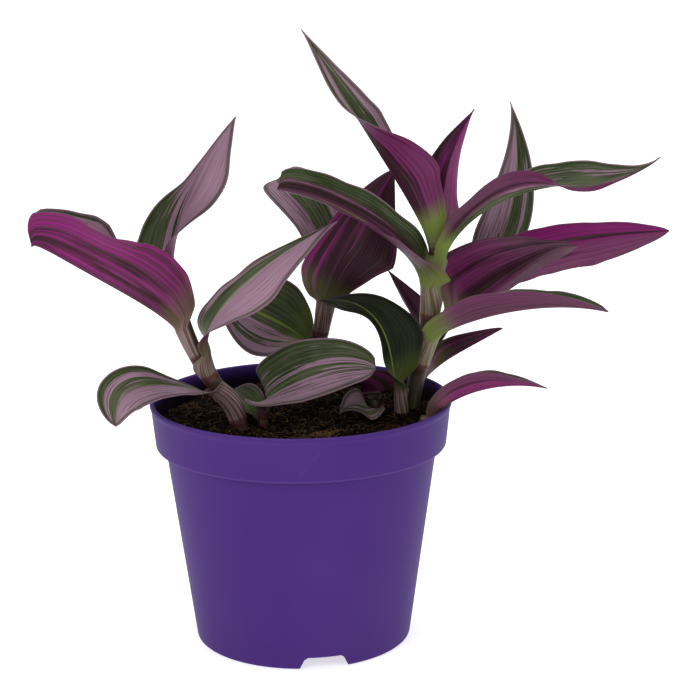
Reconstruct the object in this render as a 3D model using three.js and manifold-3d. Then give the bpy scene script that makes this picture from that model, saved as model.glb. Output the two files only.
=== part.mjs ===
// Potted tradescantia: a nursery pot, its soil, eight shoots and their striped leaves.
// Millimetres. X is to the right, Y is to the back, Z is up; origin at the centre of the pot's foot.
import * as THREE from 'three';
import Module from 'manifold-3d';

const wasm = await Module();
wasm.setup();

// Driving sizes
const POT_HEIGHT = 98;
const RIM_RADIUS = 60;
const BAND_BOTTOM = 80;
const BAND_RADIUS = 57.9;
const BODY_TOP_RADIUS = 54.2;
const FOOT_RADIUS = 43.2;
const WALL = 1.4;
const FLOOR_TOP = 1.4;
const NOTCH_HEIGHT = 5;
const NOTCH_WIDTH = 18;
const NOTCH_AZIMUTH = -79.5;
const NOTCH_COUNT = 3;
const POCKET_INNER = 25;
const DRAIN_RADIUS = 4;
const DRAIN_CIRCLE = 33;
const SOIL_TOP = 90;
const GAP = 0.3;
const STEM_HOLE_FLOOR = 82.5;
const BLADE_THICKNESS = 0.7;
const SHEATH_CLOSED = 172;
const SHEATH_MOUTH = 92;
const POT_STEPS = 64;
const STEM_SIDES = 8;

// Shoots: the path of each stem from its root end in the soil, and its radius along it
const STEMS = {
  a: {
    path: [
      [-22, -16, 84], [-27, -16, 100], [-35, -17, 111], [-41, -16, 122],
      [-45, -12, 133], [-46, -7.5, 140.5],
    ],
    radii: [3.2, 3.1, 3, 2.6, 1.8],
  },
  b: {
    path: [[10, 24, 84], [8, 23, 98], [7.5, 22, 112], [9.5, 22, 125], [12, 24, 138]],
    radii: [3.2, 3, 2.8, 2],
  },
  c: { path: [[40, -2, 84], [40, -3, 96], [41, -3, 102]], radii: [2.4, 2.2, 2] },
  d: {
    path: [
      [43, 6, 84], [46, 7, 101], [49, 6, 115], [51.3, 5, 128],
      [53, 3, 144], [54, 3, 155], [55, 4, 166],
    ],
    radii: [3.4, 3.4, 3.6, 3.5, 3, 1.6],
  },
  e: {
    path: [
      [44, 18, 84], [46, 21, 95], [51, 25, 106], [56.5, 28, 116],
      [62, 29, 127], [70, 34, 137], [76, 40, 144],
    ],
    radii: [3, 2.8, 2.4, 1.6],
  },
  f: { path: [[32, -1, 84], [30, -2, 91], [29, -2, 97.5]], radii: [1.8, 1.4] },
  g: { path: [[-14, -9, 84], [-15, -10, 91], [-15, -10, 97]], radii: [2, 1.6] },
  h: { path: [[47, -15, 84], [47.5, -16, 89], [48, -16.5, 94]], radii: [1.8, 1.4] },
};

// Leaves. at and sheath: where the sheath starts along the stem, and its length. spine: control points of the
// midrib after the sheath, the last one the tip. face: which way the upper face looks, from base to tip.
// width: half of the blade's greatest width. left and right: fold and curl of each half in degrees.
// corner: how straight the margin runs from the neck to the widest place, above 1 hollow. A pair of values
// is for the left and the right half.
const LEAVES = {
  a4: {
    stem: 'a', at: 9.5, sheath: 16, reach: 2,
    width: [11, 10], wide_at: [0.66, 0.78], tip: 0.7, neck: [0.45, 0.25],
    spine: [[-48, -27, 112], [-66, -32, 115], [-69.8, -33, 112], [-70.5, -34, 96.5]],
    face: [[0, -0.2, 0.9], [0.05, -0.4, 0.85], [-0.1, -0.6, 0.7], [-0.3, -0.8, 0.4]],
    left: [[0, 5, 5], [20, 10, 0]], right: [[0, -10, 25, 40], [10, 10, 0]],
  },
  a3: {
    stem: 'a', at: 30.4, sheath: 6, reach: 8,
    width: [14.5, 14], wide_at: [0.4, 0.68], neck: [0.7, 0.05], open: 9, corner: 0,
    spine: [[-39, -22, 134], [-22, -26, 154], [15, -18, 172]],
    face: [[-0.6, -0.2, 0.7], [-0.55, -0.3, 0.7], [-0.4, -0.5, 0.7]],
    left: [[15, 0, 0], [40, 10, 0]], right: [[20, 10, -30, -10], [40, 20, 0]],
  },
  a1: {
    stem: 'a', at: 39.4, sheath: 11, reach: 6.6, corner: [0, 1.6],
    width: [26, 20], wide_at: [0.5, 0.62], neck: [0.35, 0.15], tip: [0.5, 0.3], closed: 60,
    spine: [[-61.5, -20, 145.2], [-80, -27, 151.6], [-99, -28, 170], [-100.5, -26, 165]],
    face: [[0.5, 0.2, 0.7], [0.3, 0.2, 0.95], [0.3, 0.2, 0.95]],
    left: [[40, 60, 80], [30, 20, -50, -20]], right: [[30, 60, 75, 75], [20, 20, 15, 10]],
  },
  a2: {
    stem: 'a', at: 60.5, sheath: 3.6, reach: 5,
    width: [16, 12], wide_at: [0.22, 0.66], tip: [1.05, 0.95], neck: [0.7, 0.45], closed: 70,
    spine: [[-53, 14, 169], [-38, -2, 193], [-23.5, -4, 210.5]],
    face: [[-0.6, -0.7, 0.4], [-0.2, -0.9, 0.4], [0.6, -0.8, 0.2], [0.8, -0.6, 0.2]],
    left: [[15, 30, 40, 30], [30, 10, 0]], right: [[15, 60, 30, 0], [40, 20, 0]],
  },
  g1: {
    stem: 'g', at: 10.2, sheath: 2.3, reach: 6,
    width: [13.8, 12.5], wide_at: [0.45, 0.55], tip: 0.42, closed: 120, neck: [0.9, 0.6],
    spine: [[-13, -18, 106], [10, -25, 123], [29, -22, 115]],
    face: [[-0.6, -0.5, 0.5], [-0.2, -0.9, 0.5], [0.1, -0.9, 0.4]],
    left: [[30, 5, 5], [20, 15, 0]], right: [[50, 15, 5], [20, 15, 0]],
  },
  g2: {
    stem: 'g', at: 6.8, sheath: 1.5, reach: 3, width: 7, closed: 90, open: 4,
    spine: [[-22, -4, 99], [-25, 4, 102], [-29, 10, 97]],
    face: [[-0.3, -0.2, 0.9], [-0.3, -0.2, 0.9]],
    left: [[15, 20, 15], [20, 10, 0]], right: [[15, 20, 15], [20, 10, 0]],
  },
  b6: {
    stem: 'b', at: 20, sheath: 9, reach: 5, width: 17, wide_at: 0.58, tip: 0.7, neck: 0.3,
    spine: [[-7, 20, 125], [-20, 16, 130], [-32, 14, 138]],
    face: [[0.5, -0.7, 0.5], [0, -0.95, 0.2], [0, -0.95, 0.2]],
    left: [[20, 5, 10], [40, 15, 0]], right: [[20, 5, 10], [20, 15, 0]],
  },
  b3: {
    stem: 'b', at: 35, sheath: 12, reach: 2,
    width: [21.5, 16], wide_at: [0.6, 0.3], tip: [0.95, 0.7], open: 7, neck: [0.1, 0.2], corner: [1.6, 0.5],
    spine: [[11, 12, 149], [24, 8, 166], [38.5, 20, 186]],
    face: [[0.1, 0.95, 0.2], [0.1, 0.95, 0.3], [0, 0.95, 0.3]],
    left: [[10, 0, 10], [10, 10, 10]], right: [[10, 30, 35, 20], [20, 20, 10]],
  },
  b1: {
    stem: 'b', at: 51, sheath: 4, reach: 5, width: 13, wide_at: 0.6, tip: 0.7,
    spine: [[14, 46, 152], [8, 42, 170], [-12, 34, 181.5], [-8, 54, 177]],
    face: [[-0.2, -0.85, 0.4], [-0.2, -0.8, 0.5], [-0.4, -0.5, 0.7]],
    left: [[20, 50, 10], [40, 10, 0]], right: [[20, 15, 10], [40, 10, 0]],
  },
  c2: {
    stem: 'c', at: 7, sheath: 10, reach: 6,
    width: [14, 15], wide_at: [0.5, 0.42], tip: [0.8, 1.5], neck: [0.45, 0.3], corner: [0, 1],
    spine: [[36.6, -4, 124], [30.5, 0, 140], [8, 6, 136]],
    face: [[0.2, -0.8, 0.5], [0.4, -0.8, 0.5], [0.2, -0.7, 0.7]],
    left: [[20, 50, 10], [40, 20, 0]], right: [[20, 10, 10], [40, 10, 0]],
  },
  h1: {
    stem: 'h', at: 6.8, sheath: 2, reach: 2,
    width: [9.5, 8], closed: 120, neck: [0.3, 0.15], wide_at: [0.6, 0.5],
    spine: [[57, -22, 106], [78, -27, 111.5], [95, -25, 107]],
    face: [[-0.3, 0.5, 0.8], [0, 0.6, 0.8], [0.2, 0.6, 0.8]],
    left: [[10, 60, 70], [30, 10, 0]], right: [[30, 45, 20], [30, 10, 0]],
  },
  d7: {
    stem: 'd', at: 25.5, sheath: 11, reach: 5, width: [9.5, 11.5], wide_at: [0.72, 0.5], tip: [0.6, 0.75],
    spine: [[56, -2, 125.2], [87, -8, 141], [120.5, -10, 133.5]],
    face: [[-0.1, 0.2, 0.95], [0, 0.5, 0.8], [0.1, 0.4, 0.9]],
    left: [[5, 20, 70, 75, 60], [30, 10, 0]], right: [[15, 35, 20], [30, 10, 0]],
  },
  d5: {
    stem: 'd', at: 46.5, sheath: 12, reach: 8,
    width: [16, 11.5], wide_at: [0.5, 0.85], tip: [0.5, 0.22], neck: [0.85, 1.1],
    spine: [[47.5, -2, 155], [28, -8, 171], [8, -12, 182], [-8, -14, 184]],
    face: [[0.4, -0.2, 0.9], [0.3, -0.25, 0.9], [0.2, -0.3, 0.9]],
    left: [[25, 12, 15], [40, 20, 20]], right: [[15, 40, 30], [40, 20, 10]],
  },
  d3: {
    stem: 'd', at: 63.5, sheath: 5, reach: 6,
    width: [12, 17], wide_at: [0.64, 0.69], tip: [1.3, 3.1], neck: [0.1, 0.15], corner: [1.5, 2],
    spine: [[60, -4, 173], [94, -10, 197.5], [116, -12, 174], [138, -16, 195]],
    face: [[-0.5, 0.3, 0.8], [-0.1, 0.5, 0.8], [0.1, 0.4, 0.8], [0, -0.4, 0.9]],
    left: [[10, 30, 65, 65, 50], [30, 20, 10]], right: [[15, 45, 25, -40, 10], [30, 20, 10]],
  },
  d1: {
    stem: 'd', at: 73.2, sheath: 3, reach: 6,
    width: [18, 12.5], wide_at: [0.45, 0.45], tip: [1.5, 1], neck: [0.28, 0.3], corner: [1.4, 0],
    spine: [[43.5, -2, 178], [22, -6, 211], [2, 0, 243]],
    face: [[0.6, 0.3, 0.7], [0.6, 0.2, 0.7], [0.6, 0.05, 0.6], [0.45, -0.6, 0.45], [0.2, -0.8, 0.4]],
    left: [[15, 60, 35, 0], [40, 20, 0]], right: [[5, 40, 45, 0], [40, 10, 0]],
  },
  d2: {
    stem: 'd', at: 81.3, sheath: 1.6, reach: 2,
    width: [16.5, 13.5], wide_at: [0.45, 0.35], corner: [0, 0.8], closed: 60, lean: 0, neck: [0.3, 0.25], gap: 0.85,
    spine: [[56.5, 3, 178], [57, 11, 192], [69, 8, 211]],
    face: [[-0.2, 0.95, 0.2], [-0.2, 0.95, 0.2]],
    left: [[15, 40, 40], [40, 20, 10]], right: [[50, 70, 40, 40], [20, 20, 20, 10]],
  },
  e8: {
    stem: 'e', at: 17, sheath: 4, reach: 5, width: 8, closed: 90, tip: 0.7,
    spine: [[59, 24, 107], [71, 20, 114], [82, 18, 121]],
    face: [[-0.2, 0.6, 0.7], [-0.1, 0.4, 0.8]],
    left: [[20, 45, 40], [20, 10, 0]], right: [[20, 45, 40], [20, 10, 0]],
  },
  e10: {
    stem: 'e', at: 26, sheath: 4, reach: 5, width: 8.5, closed: 90,
    spine: [[47, 36, 121], [42.5, 38, 131], [36.5, 40, 141.5]],
    face: [[0.4, 0.8, 0.4], [0.4, 0.8, 0.4]],
    left: [[20, 45, 40], [20, 10, 0]], right: [[20, 45, 40], [20, 10, 0]],
  },
  e6: {
    stem: 'e', at: 38, sheath: 4.5, reach: 2,
    width: [5, 25], wide_at: [0.78, 0.26], tip: [0.2, 1.1], neck: [0.3, 0], corner: [0.3, 2], open: 5, closed: 45,
    spine: [[79, 20, 136], [91, 10, 148], [100, 4, 158], [111, 12, 155.5]],
    face: [[0, 1, 0], [0, 1, 0.1], [0.1, 0.9, 0.4]],
    left: [[10, 25, 10], [10, 10, 0]], right: [[0, 10, 60, 80], [10, 20, 10]],
  },
  e5: {
    stem: 'e', at: 54.5, sheath: 5, reach: 3,
    width: [12.5, 11], wide_at: [0.66, 0.4], tip: [0.75, 0.65], neck: [0.45, 1],
    spine: [[92, 34, 152.5], [122, 34, 154], [151, 30, 158]],
    face: [[0, 0.9, 0.4], [0, 0.8, 0.5]],
    left: [[10, 0, -5], [20, 10, 0]], right: [[10, 10, 20], [20, 20, 10]],
  },
  e4: {
    stem: 'e', at: 64, sheath: 4, reach: 3, width: [12, 10.8],
    spine: [[88.5, 52, 156], [96, 52, 180], [87.5, 50, 209]],
    face: [[-0.2, -0.95, 0.2], [0, -0.95, 0.2]],
    left: [[15, 20, 10], [40, 10, 0]], right: [[15, 20, 10], [40, 10, 0]],
  },
  f1: {
    stem: 'f', at: 11.5, sheath: 2, reach: 3, width: 9.5, closed: 110,
    spine: [[31, 2, 98], [30, 2, 106], [20, 0, 106]],
    face: [[0.2, 0.9, 0.4], [0.2, 0.9, 0.4]],
    left: [[20, 20, 10], [20, 10, 0]], right: [[20, 20, 10], [20, 10, 0]],
  },
  f2: {
    stem: 'f', at: 7.6, sheath: 1.5, reach: 3, width: [10, 7], closed: 90, open: 4,
    spine: [[25, -8, 98], [19, -13, 102], [15, -15, 95]],
    face: [[-0.1, -0.6, 0.8], [-0.3, -0.6, 0.7]],
    left: [[15, 0, 0], [20, 10, 0]], right: [[20, 10, 10], [20, 10, 0]],
  },
};

// Names of the shoots, used for the nodes
const SHOOT_NAMES = {
  a: 'left_shoot', b: 'back_shoot', c: 'inner_shoot', d: 'main_shoot',
  e: 'right_shoot', f: 'small_shoot', g: 'front_shoot', h: 'edge_shoot',
};

// Vectors as plain arrays
const add = (p, q, k = 1) => p.map((v, i) => v + q[i] * k);
const times = (p, k) => p.map((v) => v * k);
const dot = (p, q) => p[0] * q[0] + p[1] * q[1] + p[2] * q[2];
const cross = (p, q) => [
  p[1] * q[2] - p[2] * q[1],
  p[2] * q[0] - p[0] * q[2],
  p[0] * q[1] - p[1] * q[0],
];
const length = (p) => Math.sqrt(dot(p, p));
const unit = (p) => times(p, 1 / Math.max(length(p), 1e-9));
const radians = (d) => (d * Math.PI) / 180;
const smooth = (x) => {
  const c = Math.min(Math.max(x, 0), 1);
  return c * c * (3 - 2 * c);
};

// A smooth curve through equally spaced values, which are numbers or points
function along(values, t) {
  const list = values.map((v) => (Array.isArray(v) ? v : [v]));
  const n = list.length - 1;
  if (n === 0) {
    return list[0];
  }
  const x = Math.min(Math.max(t, 0), 1) * n;
  const i = Math.min(Math.floor(x), n - 1);
  const f = x - i;
  const p1 = list[i];
  const p2 = list[i + 1];
  const p0 = i === 0 ? add(times(p1, 2), p2, -1) : list[i - 1];
  const p3 = i + 2 > n ? add(times(p2, 2), p1, -1) : list[i + 2];
  return p1.map((v, k) => {
    const a = 2 * v;
    const b = p2[k] - p0[k];
    const c = 2 * p0[k] - 5 * v + 4 * p2[k] - p3[k];
    const d = 3 * v - p0[k] - 3 * p2[k] + p3[k];
    return 0.5 * (a + b * f + c * f * f + d * f * f * f);
  });
}

function bezier(points, t) {
  let list = points;
  while (list.length > 1) {
    list = list.slice(1).map((q, i) => add(times(list[i], 1 - t), q, t));
  }
  return list[0];
}

// A stem measured along its length: place, direction and radius at a distance from its root end
function stemMeasure(stem) {
  const steps = 400;
  const points = [];
  const run = [0];
  for (let i = 0; i <= steps; i += 1) {
    points.push(along(stem.path, i / steps));
    if (i > 0) {
      run.push(run[i - 1] + length(add(points[i], points[i - 1], -1)));
    }
  }
  const at = (distance) => {
    const d = Math.min(Math.max(distance, 0), run[steps]);
    let i = run.findIndex((v) => v >= d);
    i = Math.max(i, 1);
    const f = (d - run[i - 1]) / (run[i] - run[i - 1]);
    const t = (i - 1 + f) / steps;
    const before = along(stem.path, Math.max(t - 0.002, 0));
    const after = along(stem.path, Math.min(t + 0.002, 1));
    return {
      place: along(stem.path, t),
      tangent: unit(add(after, before, -1)),
      radius: along(stem.radii, t)[0],
    };
  };
  return { at, total: run[steps] };
}

// Width of half a blade from its neck to its tip. A value that differs between the halves is [left, right].
function bladeWidth(u, leaf, k) {
  const pick = (value) => (Array.isArray(value) ? value[k] : value);
  const width = pick(leaf.width);
  const wide = pick(leaf.wide_at ?? 0.42);
  const neck = pick(leaf.neck ?? 0.45);
  const corner = pick(leaf.corner ?? 0);
  if (u < wide) {
    const round = Math.sin((Math.PI / 2) * (u / wide)) ** 1.3;
    return width * (neck + (1 - neck) * (round + corner * (u / wide - round)));
  }
  const x = Math.min(Math.max((u - wide) / (1 - wide), 0), 1);
  return width * Math.max(Math.cos((Math.PI / 2) * x), 0) ** pick(leaf.tip ?? 1.15);
}

// The middle surface of a leaf: rows from the sheath's foot to the tip, columns from one margin to the other
function leafGrid(leaf, nu, ns, nv) {
  const stem = stemMeasure(STEMS[leaf.stem]);
  const end = Math.min(leaf.at + leaf.sheath, stem.total - 0.2);
  const rows = [];
  for (let i = 0; i <= ns; i += 1) {
    rows.push(stem.at(leaf.at + ((end - leaf.at) * i) / ns));
  }
  const top = rows[ns];
  const towards = add(leaf.spine[0], top.place, -1);
  const away = unit(add(towards, top.tangent, -dot(towards, top.tangent)));
  const clearance = leaf.gap ?? 1;
  const flare = leaf.flare ?? 0.4;
  const centre = [];
  const normal = [];
  const tube = [];
  rows.forEach((row, i) => {
    const out = unit(add(away, row.tangent, -dot(away, row.tangent)));
    const r = row.radius + clearance + flare * (i / ns) ** 2;
    centre.push(add(row.place, out, r));
    normal.push(times(out, -1));
    tube.push(r);
  });
  const reach = leaf.reach ?? 8;
  const p0 = centre[ns];
  const lean = leaf.lean ?? 0.5;
  const p1 = add(add(p0, top.tangent, reach), away, reach * lean);
  const control = [p0, p1, ...leaf.spine];
  const faces = [normal[ns], ...leaf.face.map(unit)];
  let bladeLength = 0;
  let last = p0;
  for (let i = 1; i <= 60; i += 1) {
    const next = bezier(control, i / 60);
    bladeLength += length(add(next, last, -1));
    last = next;
  }
  for (let i = 1; i <= nu; i += 1) {
    centre.push(bezier(control, i / nu));
    normal.push(along(faces, i / nu));
    tube.push(tube[ns]);
  }
  const count = centre.length;
  return centre.map((place, i) => {
    const before = centre[Math.max(i - 1, 0)];
    const after = centre[Math.min(i + 1, count - 1)];
    const tangent = unit(add(after, before, -1));
    const face = unit(add(normal[i], tangent, -dot(normal[i], tangent)));
    const side = cross(tangent, face);
    const u = Math.max(i - ns, 0) / nu;
    const m = smooth((u * bladeLength) / (leaf.open ?? 6));
    const foot = leaf.closed ?? SHEATH_CLOSED;
    const mouth = Math.min(SHEATH_MOUTH, foot);
    const closed = radians(foot + (mouth - foot) * Math.min(i / ns, 1));
    const half = (key, sign) => {
      const blade = Math.max(bladeWidth(u, leaf, sign < 0 ? 0 : 1), 0.35);
      const w = (1 - m) * 1.045 * closed * tube[i] + m * blade;
      const [folds, curls] = leaf[key];
      const fold = radians(m * along(folds, u)[0]);
      const curl = (1 - m) * closed + m * radians(along(curls, u)[0]);
      const c = Math.abs(curl) < 1e-3 ? 1e-3 : curl;
      const points = [];
      for (let j = 1; j <= nv; j += 1) {
        const s = j / nv;
        const y = (w * (Math.sin(fold + c * s) - Math.sin(fold))) / c;
        const z = (w * (Math.cos(fold) - Math.cos(fold + c * s))) / c;
        points.push(add(add(place, side, sign * y), face, z));
      }
      return points;
    };
    return [...half('left', -1).reverse(), place, ...half('right', 1)];
  });
}

// A solid sheet on both sides of a grid of points
function sheet(grid, thickness) {
  const rows = grid.length;
  const cols = grid[0].length;
  const upper = [];
  const lower = [];
  for (let i = 0; i < rows; i += 1) {
    for (let j = 0; j < cols; j += 1) {
      const across = add(grid[i][Math.min(j + 1, cols - 1)], grid[i][Math.max(j - 1, 0)], -1);
      const on = add(grid[Math.min(i + 1, rows - 1)][j], grid[Math.max(i - 1, 0)][j], -1);
      const n = unit(cross(across, on));
      upper.push(add(grid[i][j], n, thickness / 2));
      lower.push(add(grid[i][j], n, -thickness / 2));
    }
  }
  const points = [...upper, ...lower];
  const shift = rows * cols;
  const index = [];
  const id = (i, j) => i * cols + j;
  for (let i = 0; i < rows - 1; i += 1) {
    for (let j = 0; j < cols - 1; j += 1) {
      const a = id(i, j);
      const b = id(i, j + 1);
      const c = id(i + 1, j + 1);
      const d = id(i + 1, j);
      index.push(a, b, c, a, c, d);
      index.push(shift + a, shift + c, shift + b, shift + a, shift + d, shift + c);
    }
  }
  const edge = [];
  for (let j = 0; j < cols - 1; j += 1) {
    edge.push([id(0, j + 1), id(0, j)]);
    edge.push([id(rows - 1, j), id(rows - 1, j + 1)]);
  }
  for (let i = 0; i < rows - 1; i += 1) {
    edge.push([id(i, 0), id(i + 1, 0)]);
    edge.push([id(i + 1, cols - 1), id(i, cols - 1)]);
  }
  edge.forEach(([a, b]) => {
    index.push(a, b, shift + b, a, shift + b, shift + a);
  });
  return geometryOf(points, index);
}

function geometryOf(points, index) {
  const geometry = new THREE.BufferGeometry();
  geometry.setAttribute('position', new THREE.Float32BufferAttribute(points.flat(), 3));
  geometry.setIndex(index);
  geometry.computeVertexNormals();
  return geometry;
}

// A stem: rings along its path, closed at both ends, with a short rounded top
function stemGeometry(stem) {
  const measure = stemMeasure(stem);
  const rings = Math.max(4, Math.round(measure.total / 6));
  const list = [];
  for (let i = 0; i <= rings; i += 1) {
    list.push({ ...measure.at((measure.total * i) / rings), scale: 1 });
  }
  const top = list[rings];
  list.push({ ...top, place: add(top.place, top.tangent, top.radius * 0.5), scale: 0.8 });
  const points = [];
  list.forEach((ring) => {
    const a = unit(cross(ring.tangent, [0, 1, 0]));
    const b = cross(ring.tangent, a);
    for (let k = 0; k < STEM_SIDES; k += 1) {
      const angle = (2 * Math.PI * k) / STEM_SIDES;
      const out = add(times(a, Math.cos(angle)), b, Math.sin(angle));
      points.push(add(ring.place, out, ring.radius * ring.scale));
    }
  });
  const first = points.length;
  const end = list[list.length - 1];
  points.push(list[0].place);
  points.push(add(end.place, end.tangent, end.radius * 0.3));
  const index = [];
  for (let i = 0; i < list.length - 1; i += 1) {
    for (let k = 0; k < STEM_SIDES; k += 1) {
      const a = i * STEM_SIDES + k;
      const b = i * STEM_SIDES + ((k + 1) % STEM_SIDES);
      index.push(a, b, b + STEM_SIDES, a, b + STEM_SIDES, a + STEM_SIDES);
    }
  }
  const base = (list.length - 1) * STEM_SIDES;
  for (let k = 0; k < STEM_SIDES; k += 1) {
    const next = (k + 1) % STEM_SIDES;
    index.push(first, next, k);
    index.push(first + 1, base + k, base + next);
  }
  return geometryOf(points, index);
}

// The mesh of a cut solid
function geometryFrom(solid) {
  const mesh = solid.getMesh();
  const points = [];
  for (let i = 0; i < mesh.numVert; i += 1) {
    const k = i * mesh.numProp;
    points.push([mesh.vertProperties[k], mesh.vertProperties[k + 1], mesh.vertProperties[k + 2]]);
  }
  return geometryOf(points, Array.from(mesh.triVerts));
}

// A turned solid about Z from a closed outline of [radius, height]
function turned(outline, steps) {
  const section = new wasm.CrossSection([outline]);
  return wasm.Manifold.revolve(section, steps);
}

// The outside of the pot's body at a height
const BODY_SLOPE = (BODY_TOP_RADIUS - FOOT_RADIUS) / BAND_BOTTOM;
const bodyRadius = (z) => FOOT_RADIUS + BODY_SLOPE * z;

// The drainage pockets raised in the floor behind each notch of the foot, grown by a margin on every side
function pockets(grow, outer) {
  const half = NOTCH_WIDTH / 2;
  const top = NOTCH_HEIGHT + grow;
  const shape = new wasm.CrossSection([[
    [-half - 1.2 - grow, -1],
    [half + 1.2 + grow, -1],
    [half - 1 + grow, NOTCH_HEIGHT - 1],
    [half - 2.4 + grow * 0.6, top],
    [-half + 2.4 - grow * 0.6, top],
    [-half + 1 - grow, NOTCH_HEIGHT - 1],
  ]]);
  const reach = outer - POCKET_INNER + grow;
  const list = [];
  for (let i = 0; i < NOTCH_COUNT; i += 1) {
    list.push(wasm.Manifold.extrude(shape, reach)
      .rotate([90, 0, 0])
      .translate([0, outer, 0])
      .rotate([0, 0, NOTCH_AZIMUTH - 90 + (360 / NOTCH_COUNT) * i]));
  }
  return wasm.Manifold.union(list);
}

// The pot: a tapered cup with a wider band under the rim, notches in its foot and drainage pockets in its floor
function potSolid() {
  const outline = [
    [0, 0],
    [FOOT_RADIUS - 0.5, 0],
    [FOOT_RADIUS + 0.1, 0.8],
    [bodyRadius(BAND_BOTTOM), BAND_BOTTOM],
    [BAND_RADIUS - 0.3, BAND_BOTTOM],
    [BAND_RADIUS, BAND_BOTTOM + 0.4],
    [RIM_RADIUS - 0.5, POT_HEIGHT - 2.2],
    [RIM_RADIUS, POT_HEIGHT - 1.6],
    [RIM_RADIUS, POT_HEIGHT - 0.5],
    [RIM_RADIUS - 0.6, POT_HEIGHT],
    [RIM_RADIUS - 1.3, POT_HEIGHT],
    [RIM_RADIUS - 1.8, POT_HEIGHT - 0.6],
    [BAND_RADIUS - WALL, BAND_BOTTOM + 2],
    [bodyRadius(BAND_BOTTOM) - WALL, BAND_BOTTOM - 1],
    [bodyRadius(FLOOR_TOP) - WALL, FLOOR_TOP + 1],
    [bodyRadius(FLOOR_TOP) - WALL - 1, FLOOR_TOP],
    [0, FLOOR_TOP],
  ];
  const envelope = turned([
    [0, 0.2],
    [FOOT_RADIUS - 0.4, 0.2],
    [bodyRadius(20) - 0.4, 20],
    [0, 20],
  ], POT_STEPS);
  let pot = turned(outline, POT_STEPS);
  pot = pot.add(pockets(WALL, FOOT_RADIUS + 6).intersect(envelope));
  pot = pot.subtract(pockets(0, FOOT_RADIUS + 6));
  for (let i = 0; i < NOTCH_COUNT; i += 1) {
    const angle = radians(NOTCH_AZIMUTH + (360 / NOTCH_COUNT) * i);
    const hole = wasm.Manifold.cylinder(6, DRAIN_RADIUS, DRAIN_RADIUS, 20)
      .translate([DRAIN_CIRCLE * Math.cos(angle), DRAIN_CIRCLE * Math.sin(angle), NOTCH_HEIGHT - 2]);
    pot = pot.subtract(hole);
  }
  return pot;
}

// The soil: fills the pot to just under the rim, with a plain hole for each stem
function soilSolid() {
  const inner = (z) => bodyRadius(z) - WALL - GAP;
  const bandInner = BAND_RADIUS - WALL - GAP;
  const rise = (RIM_RADIUS - 1.8 - (BAND_RADIUS - WALL)) / (POT_HEIGHT - 0.6 - BAND_BOTTOM - 2);
  const bottom = FLOOR_TOP + GAP;
  const outline = [
    [0, bottom],
    [inner(bottom) - 1.2, bottom],
    [inner(bottom + 1) - 0.1, bottom + 1.2],
    [inner(BAND_BOTTOM - 1) - 0.1, BAND_BOTTOM - 1],
    [bandInner - 0.2, BAND_BOTTOM + 2.2],
    [bandInner + rise * (SOIL_TOP - BAND_BOTTOM - 2.8), SOIL_TOP - 0.8],
    [bandInner + rise * (SOIL_TOP - BAND_BOTTOM - 2) - 0.8, SOIL_TOP],
    [0, SOIL_TOP],
  ];
  let soil = turned(outline, POT_STEPS).subtract(pockets(WALL + GAP, FOOT_RADIUS + 6));
  Object.values(STEMS).forEach((stem) => {
    const measure = stemMeasure(stem);
    const foot = measure.at(0);
    const direction = measure.at(8).place;
    const slant = add(direction, foot.place, -1);
    const height = 12;
    const rate = height / slant[2];
    const radius = foot.radius + 0.55;
    const low = add(foot.place, slant, (STEM_HOLE_FLOOR - foot.place[2]) / slant[2]);
    const round = wasm.CrossSection.circle(radius, 12);
    const lean = [slant[0] * rate, slant[1] * rate];
    const hole = wasm.Manifold.extrude(round, height)
      .transform([1, 0, 0, 0, 0, 1, 0, 0, lean[0] / height, lean[1] / height, 1, 0, low[0], low[1], low[2], 1]);
    soil = soil.subtract(hole);
  });
  return soil;
}

// Materials
const material = (name, color, roughness) => {
  const m = new THREE.MeshStandardMaterial({ color, roughness, metalness: 0 });
  m.name = name;
  return m;
};
const potPlastic = material('pot_plastic', 0x4f3a80, 0.45);
const soilMatter = material('soil', 0x3a2a20, 0.95);
const stemTissue = material('stem_tissue', 0x7c8a52, 0.55);
const leafTissue = material('leaf_tissue', 0x6d4a66, 0.5);

const group = new THREE.Group();
group.name = 'potted_tradescantia';
function addPiece(name, geometry, kind) {
  const mesh = new THREE.Mesh(geometry, kind);
  mesh.name = name;
  group.add(mesh);
}

addPiece('pot', geometryFrom(potSolid()), potPlastic);
addPiece('soil', geometryFrom(soilSolid()), soilMatter);
Object.entries(STEMS).forEach(([key, stem]) => {
  addPiece(`${SHOOT_NAMES[key]}_stem`, stemGeometry(stem), stemTissue);
});
Object.entries(LEAVES).forEach(([key, leaf]) => {
  const small = Math.max(...[leaf.width].flat()) < 9;
  const grid = leafGrid(leaf, small ? 9 : 13, leaf.sheath > 6 ? 3 : 2, small ? 3 : 4);
  addPiece(`${SHOOT_NAMES[leaf.stem]}_leaf_${key.slice(1)}`, sheet(grid, BLADE_THICKNESS), leafTissue);
});

export default group;
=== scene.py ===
import math

import bpy
import numpy as np
from bpy.props import FloatProperty, FloatVectorProperty, IntProperty, PointerProperty
from mathutils import Matrix, Vector


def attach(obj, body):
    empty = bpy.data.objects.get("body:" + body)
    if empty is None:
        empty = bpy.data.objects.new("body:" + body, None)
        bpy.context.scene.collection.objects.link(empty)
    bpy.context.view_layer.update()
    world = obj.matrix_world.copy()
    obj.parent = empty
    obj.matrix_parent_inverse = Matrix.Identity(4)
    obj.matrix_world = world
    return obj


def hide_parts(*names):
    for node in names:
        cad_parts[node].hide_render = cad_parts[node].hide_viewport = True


# Potted tradescantia: a nursery pot, its soil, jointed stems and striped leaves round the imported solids.
# Tables are in millimetres and degrees, objects in metres. X is to the right, Y is to the back, Z is up.

bl_info = {
    "name": "Potted tradescantia",
    "version": (1, 0, 0),
    "blender": (4, 5, 0),
    "location": "View3D > Sidebar > Plant",
    "description": "Makes a potted tradescantia round its packed solids",
    "category": "Object",
}

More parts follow.
